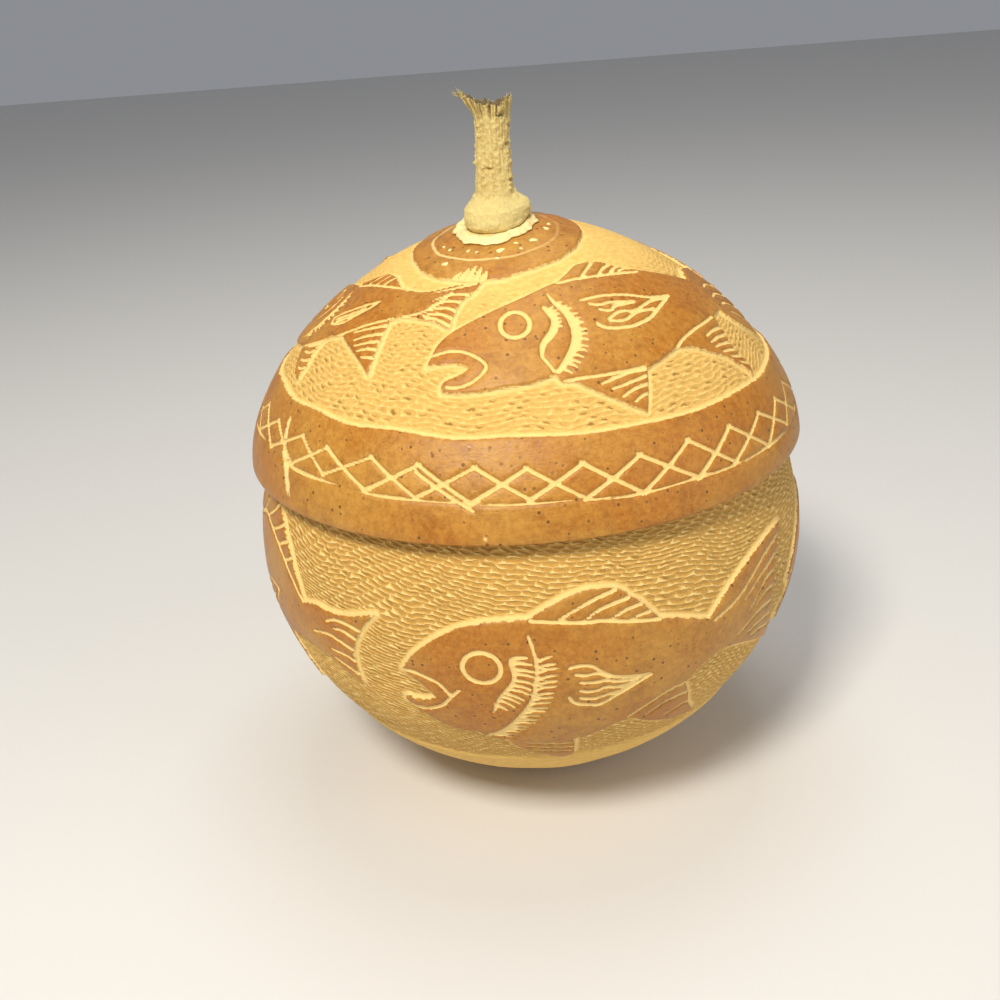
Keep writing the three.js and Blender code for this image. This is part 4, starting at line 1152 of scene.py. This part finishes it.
def bowl_mesh(shape):
    """The bowl, as rings of points from the underside's middle over the belly and the mouth to the
    floor's middle. The carved zone has the finest rings, and the hidden ones are coarser."""
    meridian = bowl_meridian(shape)
    foot, under_lid = meridian.length_at(0.0), meridian.length_at(RIM_HEIGHT + 1.5)
    border_line = BOWL_AXIS - CARVED_BELOW
    columns = 640
    coarse = columns // 4
    plain = np.linspace(foot, border_line - 4, 22)
    carved = np.linspace(border_line - 3.2, under_lid, 132)
    neck = np.linspace(under_lid + 1.2, meridian.high, 6)
    wall = np.linspace(meridian.high, foot, 30)[:-3]
    levels, counts, sides = [], [], []
    zones = ((plain, coarse, 0), (carved, columns, 0), (neck, coarse, 0), (wall, coarse, 1))
    for values, count, side in zones:
        levels += list(values)
        counts += [count] * len(values)
        sides += [side] * len(values)
    starts = np.concatenate([[0], np.cumsum(counts)])
    length = np.repeat(levels, counts)
    inside = np.repeat(np.array(sides, float), counts)
    number = np.arange(starts[-1]) - np.repeat(starts[:-1], counts)
    azimuth = number / np.repeat(counts, counts) * 2 * np.pi - np.pi

    skin = np.full(len(length), -6.0)
    cut = np.full(len(length), -3.0)
    carve_fish(meridian, azimuth, length, BOWL_AXIS, BOWL_SHOAL, skin, cut)
    base = border_line + 0.9 * waves(azimuth, 0 * length, 8, 60) - length
    gouged = smooth(-base, 0.2, 1.4) * (1 - inside)
    along, row = gouge_cells(azimuth, length, **BOWL_CELLS)
    depth = relief(shape, skin, cut, gouged, along, row, azimuth, length)
    # The plain part below the border stands a little prouder, and a groove runs along its edge.
    depth -= 0.5 * smooth(base, -0.6, 0.8)
    depth += 0.4 * np.exp(-((base + 0.8) / 0.7) ** 2)
    away = smooth(length, foot, foot + 6)
    r, z = meridian.at(length, np.where(inside > 0.5, BOWL_WALL, np.maximum(depth, 0) * away))
    z = np.where(np.isclose(length, foot), 0.0, z)
    z = np.where(inside > 0.5, np.maximum(z, FLOOR_HEIGHT), z)
    z = np.where(np.isclose(length, meridian.high), MOUTH_HEIGHT, z)
    points = turned_points(r, azimuth, z)
    rings = [np.arange(a, b) for a, b in zip(starts[:-1], starts[1:])]
    bottom, top = len(points), len(points) + 1
    points = np.vstack([points, [[0, 0, 0], [0, 0, FLOOR_HEIGHT]]])
    fans = cap(bottom, rings[0], False), cap(top, rings[-1], True)
    faces = outward(points, np.concatenate([rows_of_faces(rings), *fans]))
    more = np.zeros(2)
    values = {
        "skin": np.concatenate([np.clip(skin, -6, 6), more - 6]),
        "cut": np.concatenate([np.clip(cut, -3, 3), more - 3]),
        "worn": np.concatenate([0 * skin, more]),
        "ring": np.concatenate([0 * skin, more]) + 6,
        "gouged": np.concatenate([gouged, more]),
        "inside": np.concatenate([inside, [0, 1]]),
    }
    azimuth, length = np.concatenate([azimuth, more]), np.concatenate([length, [foot, foot]])
    return points, faces, values, corner_plan(faces, azimuth, length, **BOWL_CELLS)


def skin_height(shape, x, y):
    """Height of the lid's skin above a point of the plan."""
    share = np.minimum(np.hypot(x, y) / (shape.lid_diameter / 2 / MM), 1)
    return RIM_HEIGHT + shape.dome_height / MM * (1 - share ** DOME_EXPONENT) ** (1 / DOME_EXPONENT)


def bed_height(shape, x, y):
    """The tilted plane of glue that the stalk's foot stands on: a little above the skin there, and
    as steep as the skin is between points on either side."""
    foot_x, foot_y = STALK_FOOT
    skin_x = skin_height(shape, foot_x + np.array([BED_REACH, -BED_REACH]), foot_y)
    skin_y = skin_height(shape, foot_x, foot_y + np.array([BED_REACH, -BED_REACH]))
    slope_x = (skin_x[0] - skin_x[1]) / (2 * BED_REACH)
    slope_y = (skin_y[0] - skin_y[1]) / (2 * BED_REACH)
    level = skin_height(shape, foot_x, foot_y) + BED_RISE
    return level + slope_x * (x - foot_x) + slope_y * (y - foot_y)


def ring_body(rings):
    """A closed body over rings of points of equal count, with a middle point at each end."""
    count = rings.shape[1]
    points = np.vstack([rings.reshape(-1, 3), rings[0].mean(0)[None], rings[-1].mean(0)[None]])
    numbers = np.arange(rings.shape[0] * count).reshape(-1, count)
    first, last = cap(len(points) - 2, numbers[0], False), cap(len(points) - 1, numbers[-1], True)
    return points, np.concatenate([rows_of_faces(list(numbers)), first, last])


def bumps(turn, height, around, spots, rng):
    """The sum of `spots` small round bumps scattered over an unrolled wall `around` mm in radius,
    as heights in mm. Each is a Gaussian of its own width and height."""
    total = np.zeros_like(turn)
    for _ in range(spots):
        wide, high = rng.uniform(0.35, 0.9), rng.uniform(0.12, 0.5)
        across = ((turn - rng.uniform(0, 2 * np.pi) + np.pi) % (2 * np.pi) - np.pi) * around
        up = height - rng.uniform(height.min(), height.max())
        total += high * np.exp(-(across / wide) ** 2 - (up / (wide * 0.8)) ** 2)
    return total


def stalk_mesh(shape):
    """The stalk: rings whose radius is a smooth profile with a blocky lumpy foot, plus corky bumps
    and short slits. The foot follows the tilted bed. The top flares, is furrowed and torn, and has
    a horn that sticks out to the left."""
    rng = np.random.default_rng(17)
    levels, sides = 190, 130
    tall = shape.stalk_height / MM
    share = np.linspace(0, 1, levels)[:, None] * np.ones(sides)
    turn = np.arange(sides)[None] / sides * 2 * np.pi * np.ones((levels, 1))
    shares = [0, 0.02, 0.05, 0.1, 0.15, 0.185, 0.21, 0.235, 0.28, 0.4, 0.62, 0.78, 0.88, 0.95, 1]
    radii = [9.6, 10.3, 10.7, 10.7, 10.2, 9.1, 7.9, 7.0, 6.3, 5.85, 5.55, 5.6, 5.8, 6.1, 6.3]
    radius = np.interp(share, shares, radii)
    for shift in (-0.012, 0.012):
        radius += np.interp(share + shift, shares, radii)
    radius /= 3
    shaft, top = smooth(share, 0.17, 0.28), smooth(share, 0.8, 0.98)
    foot = 0.5 * np.sin(2 * turn + 0.4) + 0.4 * np.sin(3 * turn + 1 + 5 * share)
    foot += 0.22 * np.sin(5 * turn + 11 * share)
    radius += (1 - shaft) * foot * smooth(share, 0, 0.05)
    sway = 0.2 * np.cos(3 * turn + 5 * share) + 0.16 * np.cos(5 * turn - 7 * share)
    radius += shaft * (sway + 0.12 * np.sin(26 * share))
    cork = bumps(turn, share * tall, 6.0, 560, rng)
    radius += (cork - 0.2) * (0.6 + 0.4 * shaft) * (1 - 0.6 * top)
    furrow = np.zeros_like(share)
    for k in range(9):
        furrow += np.sin((11 + 5 * k) * turn + rng.uniform(0, 6) + rng.uniform(-5, 5) * share) / 6
    furrow = smooth(furrow, -0.2, 0.6)
    radius -= furrow * (0.28 * shaft + 0.45 * top)
    furrow = furrow * (0.3 * shaft * (1 - top) + top) - 0.7 * np.minimum(cork, 1)
    slits = ((0.0, 0.80, 2.4), (-0.5, 0.66, 1.2), (-0.4, 0.36, 1.8),
             (0.1, 0.55, 1.0), (-1.1, 0.9, 1.6), (-1.9, 0.47, 1.1))
    for middle, level, wide in slits:
        across = ((turn - middle + np.pi) % (2 * np.pi) - np.pi) * 6
        slit = np.exp(-(across / wide) ** 2 - ((share - level) * tall / 0.4) ** 2)
        radius -= 1.0 * slit
        furrow += 1.2 * slit
    left = np.maximum(0, -np.cos(turn)) ** 3
    right = np.maximum(0, np.cos(turn)) ** 2
    radius += HORN_REACH * left * smooth(share, 0.86, 1)
    base = bed_height(shape, *STALK_FOOT) + STALK_GAP
    x = STALK_FOOT[0] + STALK_LEAN * share + radius * np.cos(turn)
    y = STALK_FOOT[1] + radius * np.sin(turn)
    torn = smooth(share, 0.84, 1)
    broken = 0.5 * np.cos(2 * turn) + HORN_RISE * left + 0.5 * right + 0.3 * np.sin(7 * turn + 1)
    broken += 0.25 * np.sin(17 * turn) + 0.22 * np.sin(29 * turn + 2)
    tilt = (bed_height(shape, x, y) + STALK_GAP - base) * (1 - smooth(share, 0, 0.3))
    z = base + share * tall + broken * torn + tilt
    outside = np.stack([x, y, z], 2)
    middle = np.array([STALK_FOOT[0] + STALK_LEAN, STALK_FOOT[1], base + tall - BREAK_HOLLOW])
    hollow = []
    for k in range(1, 11):
        s = k / 10
        ring = outside[-1] + (middle - outside[-1]) * [s * 0.93, s * 0.93, 0]
        rough = (0.35 * np.sin(9 * turn[0] + 3 * k) + 0.25 * np.sin(21 * turn[0] + 5 * k)) * (1 - s)
        ring[:, 2] = outside[-1, :, 2] - (outside[-1, :, 2] - middle[2]) * smooth(s, 0.02, 0.7) + rough
        hollow.append(ring)
    points, faces = ring_body(np.concatenate([outside, np.array(hollow)]))
    faces = outward(points, faces)
    count = len(hollow) * sides
    rise = np.concatenate([share.ravel(), np.full(count, 1.0), [0, 1]])
    furrow = np.concatenate([np.clip(furrow, 0, 1).ravel(), np.full(count, 0.9), [0, 1]])
    wisp_points, wisp_faces = wisps(outside[-1], rng)
    faces = np.concatenate([faces, wisp_faces + len(points)])
    values = {"rise": np.concatenate([rise, np.full(len(wisp_points), 0.5)]),
              "furrow": np.concatenate([furrow, np.zeros(len(wisp_points))])}
    return np.vstack([points, wisp_points]), faces, values


def wisps(edge, rng):
    """Loose fibres at the horn and along the torn edge: thin four-sided cones, each bent once."""
    horn = edge[np.argmin(edge[:, 0])]
    body = np.array([(0, 1, 5), (0, 5, 4), (1, 2, 6), (1, 6, 5), (2, 3, 7), (2, 7, 6), (3, 0, 4),
                     (3, 4, 7), (4, 5, 8), (5, 6, 8), (6, 7, 8), (7, 4, 8), (0, 3, 2), (0, 2, 1)])
    points, faces = [], []
    for k in range(44):
        if k < 26:
            root = horn + rng.normal(0, 0.4, 3) + [0.6, 0, -0.4]
            way = np.array([-0.7, rng.uniform(-0.6, 0.6), rng.uniform(-0.1, 1.2)])
            reach = rng.uniform(1.2, 3.6)
        else:
            root = edge[rng.integers(len(edge))] + [0, 0, -0.5]
            way = np.array([rng.uniform(-0.4, 0.3), rng.uniform(-0.4, 0.4), 1.0])
            reach = rng.uniform(0.6, 1.5)
        way /= np.linalg.norm(way)
        side = np.cross(way, [0.1, 1, 0.2])
        side /= np.linalg.norm(side)
        up = np.cross(way, side)
        bend = rng.normal(0, 0.45, 3)
        local = []
        for share, wide in ((0, 0.13), (0.55, 0.08)):
            centre = root + way * reach * share + bend * share
            local += [centre + side * wide, centre + up * wide, centre - side * wide, centre - up * wide]
        local.append(root + way * reach + bend * 1.8)
        local = np.array(local)
        faces.append(outward(local, body) + 9 * k)
        points.append(local)
    return np.concatenate(points), np.concatenate(faces)


def glue_mesh(shape):
    """The bead of dried glue: an uneven disc that follows the lid's skin below, with a lumpy lip
    round the stalk's foot, and small splashes on the skin round it."""
    sides = 140
    turn = np.arange(sides) / sides * 2 * np.pi
    uneven = 1 - 0.06 * np.cos(turn) + 0.05 * np.sin(3 * turn + 0.6) + 0.03 * np.sin(7 * turn)
    uneven += 0.018 * np.sin(13 * turn + 1) + 0.012 * np.sin(23 * turn)
    rings = []
    table = ((0.3, "under", 0), (0.7, "under", 0), (0.96, "under", 0), (1.0, "under", 0.2),
             (1.0, "under", 0.5), (0.975, "under", 0.75), (0.94, "under", 0.95), (0.9, "lip", 0.0),
             (0.86, "lip", 0.15), (0.82, "lip", 0.15), (0.78, "lip", 0.0), (0.74, "bed", -0.2),
             (0.5, "bed", -0.2), (0.2, "bed", -0.2))
    for share, kind, lift in table:
        radius = GLUE_RADIUS * share * (uneven if share > 0.76 else 1)
        x, y = STALK_FOOT[0] + radius * np.cos(turn), STALK_FOOT[1] + radius * np.sin(turn)
        lumps = 0.14 * np.sin(5 * turn + 2) + 0.1 * np.sin(11 * turn)
        lumps += 0.08 * np.sin(19 * turn + 7 * share)
        under = skin_height(shape, x, y) + GLUE_GAP
        bed = bed_height(shape, x, y)
        if kind == "under":
            z = under + lift * (1 + 0.6 * lumps)
        elif kind == "lip":
            z = np.maximum(bed + lift + lumps, under + 0.75 + lift + lumps)
        else:
            z = bed + lift
        rings.append(np.stack([x, y, z], 1))
    points, faces = ring_body(np.array(rings))
    parts, offset = [(points, outward(points, faces))], len(points)
    splashes = ((-3.5, -26.5, 1.0), (7.0, -21.5, 0.9), (-4.6, -30.4, 0.5), (-21.0, -27.0, 0.8),
                (-21.5, -16.0, 0.5), (-19.5, -19.6, 0.5), (-13.6, -23.6, 0.5), (-11.0, -25.4, 0.4),
                (1.5, -23.2, 0.5), (3.0, -26.4, 0.4), (11.5, -13.0, 0.8), (12.5, -9.0, 0.6))
    around = np.arange(14) / 14 * 2 * np.pi
    for number, (px, py, radius) in enumerate(splashes):
        wobble = 1 + 0.22 * np.sin(2 * around + number) + 0.16 * np.sin(3 * around + 2 * number)
        blob = []
        for share, lift in ((0.5, -0.1), (1.0, -0.1), (1.0, 0.08), (0.75, 0.22), (0.35, 0.3)):
            x = px + radius * share * wobble * np.cos(around) * 1.3
            y = py + radius * share * wobble * np.sin(around)
            blob.append(np.stack([x, y, skin_height(shape, x, y) + lift], 1))
        points, faces = ring_body(np.array(blob))
        parts.append((points, outward(points, faces) + offset))
        offset += len(points)
    return np.vstack([p for p, _ in parts]), np.concatenate([f for _, f in parts])


# Operators


class GOURD_OT_bowl(bpy.types.Operator):
    """Make the carved bowl"""

    bl_idname = "gourd.bowl"
    bl_label = "Bowl"

    def execute(self, context):
        points, faces, values, plan = bowl_mesh(context.scene.gourd_shape)
        hues = context.scene.gourd_colours
        material = rind_material("Calabash rind, gouge carved, bowl", hues, **BOWL_CHIPS)
        piece = make_piece("carved_bowl", points, faces, material, values, plan)
        set_on_frame(piece, "bowl")
        return {"FINISHED"}


class GOURD_OT_lid(bpy.types.Operator):
    """Make the carved lid"""

    bl_idname = "gourd.lid"
    bl_label = "Lid"

    def execute(self, context):
        points, faces, values, plan = lid_mesh(context.scene.gourd_shape)
        hues = context.scene.gourd_colours
        material = rind_material("Calabash rind, gouge carved, lid", hues, **LID_CHIPS)
        piece = make_piece("carved_lid", points, faces, material, values, plan)
        set_on_frame(piece, "lid")
        return {"FINISHED"}


class GOURD_OT_glue(bpy.types.Operator):
    """Make the bead of dried glue and its splashes"""

    bl_idname = "gourd.glue"
    bl_label = "Glue"

    def execute(self, context):
        material = glue_material("Dried white glue, run by hand", context.scene.gourd_colours)
        piece = make_piece("glue_bead", *glue_mesh(context.scene.gourd_shape), material)
        set_on_frame(piece, "glue_collar")
        return {"FINISHED"}


class GOURD_OT_stalk(bpy.types.Operator):
    """Make the dried stalk"""

    bl_idname = "gourd.stalk"
    bl_label = "Stalk"

    def execute(self, context):
        material = stalk_material("Gourd stalk, air dried", context.scene.gourd_colours)
        points, faces, values = stalk_mesh(context.scene.gourd_shape)
        piece = make_piece("dried_stalk", points, faces, material, values)
        set_on_frame(piece, "stem")
        return {"FINISHED"}


class GOURD_OT_stage(bpy.types.Operator):
    """Make the floor, the lights and the camera"""

    bl_idname = "gourd.stage"
    bl_label = "Stage"

    def execute(self, context):
        make_floor(context.scene.gourd_colours)
        make_lights(context.scene.gourd_stage)
        make_camera()
        return {"FINISHED"}


def make_floor(hues):
    """A plain painted floor: a flat square with a faint roller texture."""
    mesh = bpy.data.meshes.new("floor")
    half = 3.0
    corners = [(-half, -half, 0), (half, -half, 0), (half, half, 0), (-half, half, 0)]
    mesh.from_pydata(corners, [], [(0, 1, 2, 3)])
    material, tree = new_material("Painted board, rolled matt")
    place = add(tree, "TexCoord", out="Object")
    roll = add(tree, "TexNoise", {"Vector": place, "Scale": size(3), "Detail": 3.0})
    bump = add(tree, "Bump", {"Height": roll, "Strength": 0.15, "Distance": 0.2 * MM})
    finish_material(tree, {"Base Color": hues.floor, "Roughness": 0.8, "Normal": bump})
    mesh.materials.append(material)
    floor = bpy.data.objects.new("floor", mesh)
    bpy.context.scene.collection.objects.link(floor)


def make_lights(stage):
    """Soft studio light: a large warm key at the front left, a weaker fill at the right and one
    overhead, in an evenly lit pale room."""
    target = Vector((0, 0, 0.11))
    table = (("key", (-0.32, -0.78, 1.12), 0.3, stage.key_power, (1.0, 0.95, 0.86)),
             ("fill", (0.9, -0.5, 0.5), 0.7, stage.fill_power, (0.95, 0.97, 1.0)),
             ("top", (0.05, 0.25, 1.2), 0.6, stage.top_power, (1.0, 0.98, 0.94)))
    for name, place, width, power, colour in table:
        light = bpy.data.lights.new(name, "AREA")
        light.size = width
        light.energy = power
        light.color = colour
        lamp = bpy.data.objects.new(name, light)
        lamp.location = place
        lamp.rotation_mode = "QUATERNION"
        lamp.rotation_quaternion = (target - Vector(place)).to_track_quat("-Z", "Y")
        bpy.context.scene.collection.objects.link(lamp)
    world = bpy.data.worlds.new("pale room")
    world.use_nodes = True
    background = world.node_tree.nodes["Background"]
    background.inputs["Color"].default_value = (0.9, 0.93, 1.0, 1.0)
    background.inputs["Strength"].default_value = stage.room_light
    bpy.context.scene.world = world
    bpy.context.scene.view_settings.view_transform = "Standard"


def make_camera():
    """The photograph's viewpoint: a little above the lid's height, looking down at the middle."""
    yaw, pitch, roll = (math.radians(turn) for turn in CAMERA_TURNS)
    ahead = Vector((math.sin(yaw) * math.cos(pitch), math.cos(yaw) * math.cos(pitch), math.sin(pitch)))
    level = Vector((math.cos(yaw), -math.sin(yaw), 0))
    upright = level.cross(ahead)
    right = level * math.cos(roll) + upright * math.sin(roll)
    up = upright * math.cos(roll) - level * math.sin(roll)
    data = bpy.data.cameras.new("camera")
    data.sensor_width = 36.0
    data.lens = CAMERA_LENS
    camera = bpy.data.objects.new("camera", data)
    columns = Matrix((right, up, -ahead)).transposed().to_4x4()
    columns.translation = Vector(CAMERA_PLACE)
    camera.matrix_world = columns
    bpy.context.scene.collection.objects.link(camera)
    bpy.context.scene.camera = camera


class GOURD_PT_panel(bpy.types.Panel):
    """Lists the gourd's pieces and settings"""

    bl_label = "Carved gourd"
    bl_idname = "GOURD_PT_panel"
    bl_space_type = "VIEW_3D"
    bl_region_type = "UI"
    bl_category = "Gourd"

    def draw(self, context):
        for group in (context.scene.gourd_shape, context.scene.gourd_colours, context.scene.gourd_stage):
            box = self.layout.box()
            for name in type(group).__annotations__:
                box.prop(group, name)
        for operator in OPERATORS:
            self.layout.operator(operator.bl_idname)


GROUPS = {"gourd_shape": GourdShape, "gourd_colours": GourdColours, "gourd_stage": GourdStage}
OPERATORS = (GOURD_OT_bowl, GOURD_OT_lid, GOURD_OT_glue, GOURD_OT_stalk, GOURD_OT_stage)


def register():
    for kind in (*GROUPS.values(), *OPERATORS, GOURD_PT_panel):
        bpy.utils.register_class(kind)
    for name, group in GROUPS.items():
        setattr(bpy.types.Scene, name, bpy.props.PointerProperty(type=group))


def unregister():
    for name in GROUPS:
        delattr(bpy.types.Scene, name)
    for kind in (GOURD_PT_panel, *reversed(OPERATORS), *GROUPS.values()):
        bpy.utils.unregister_class(kind)


def main():
    register()
    bpy.ops.gourd.bowl()
    bpy.ops.gourd.lid()
    bpy.ops.gourd.glue()
    bpy.ops.gourd.stalk()
    bpy.ops.gourd.stage()


if __name__ == "__main__":
    main()
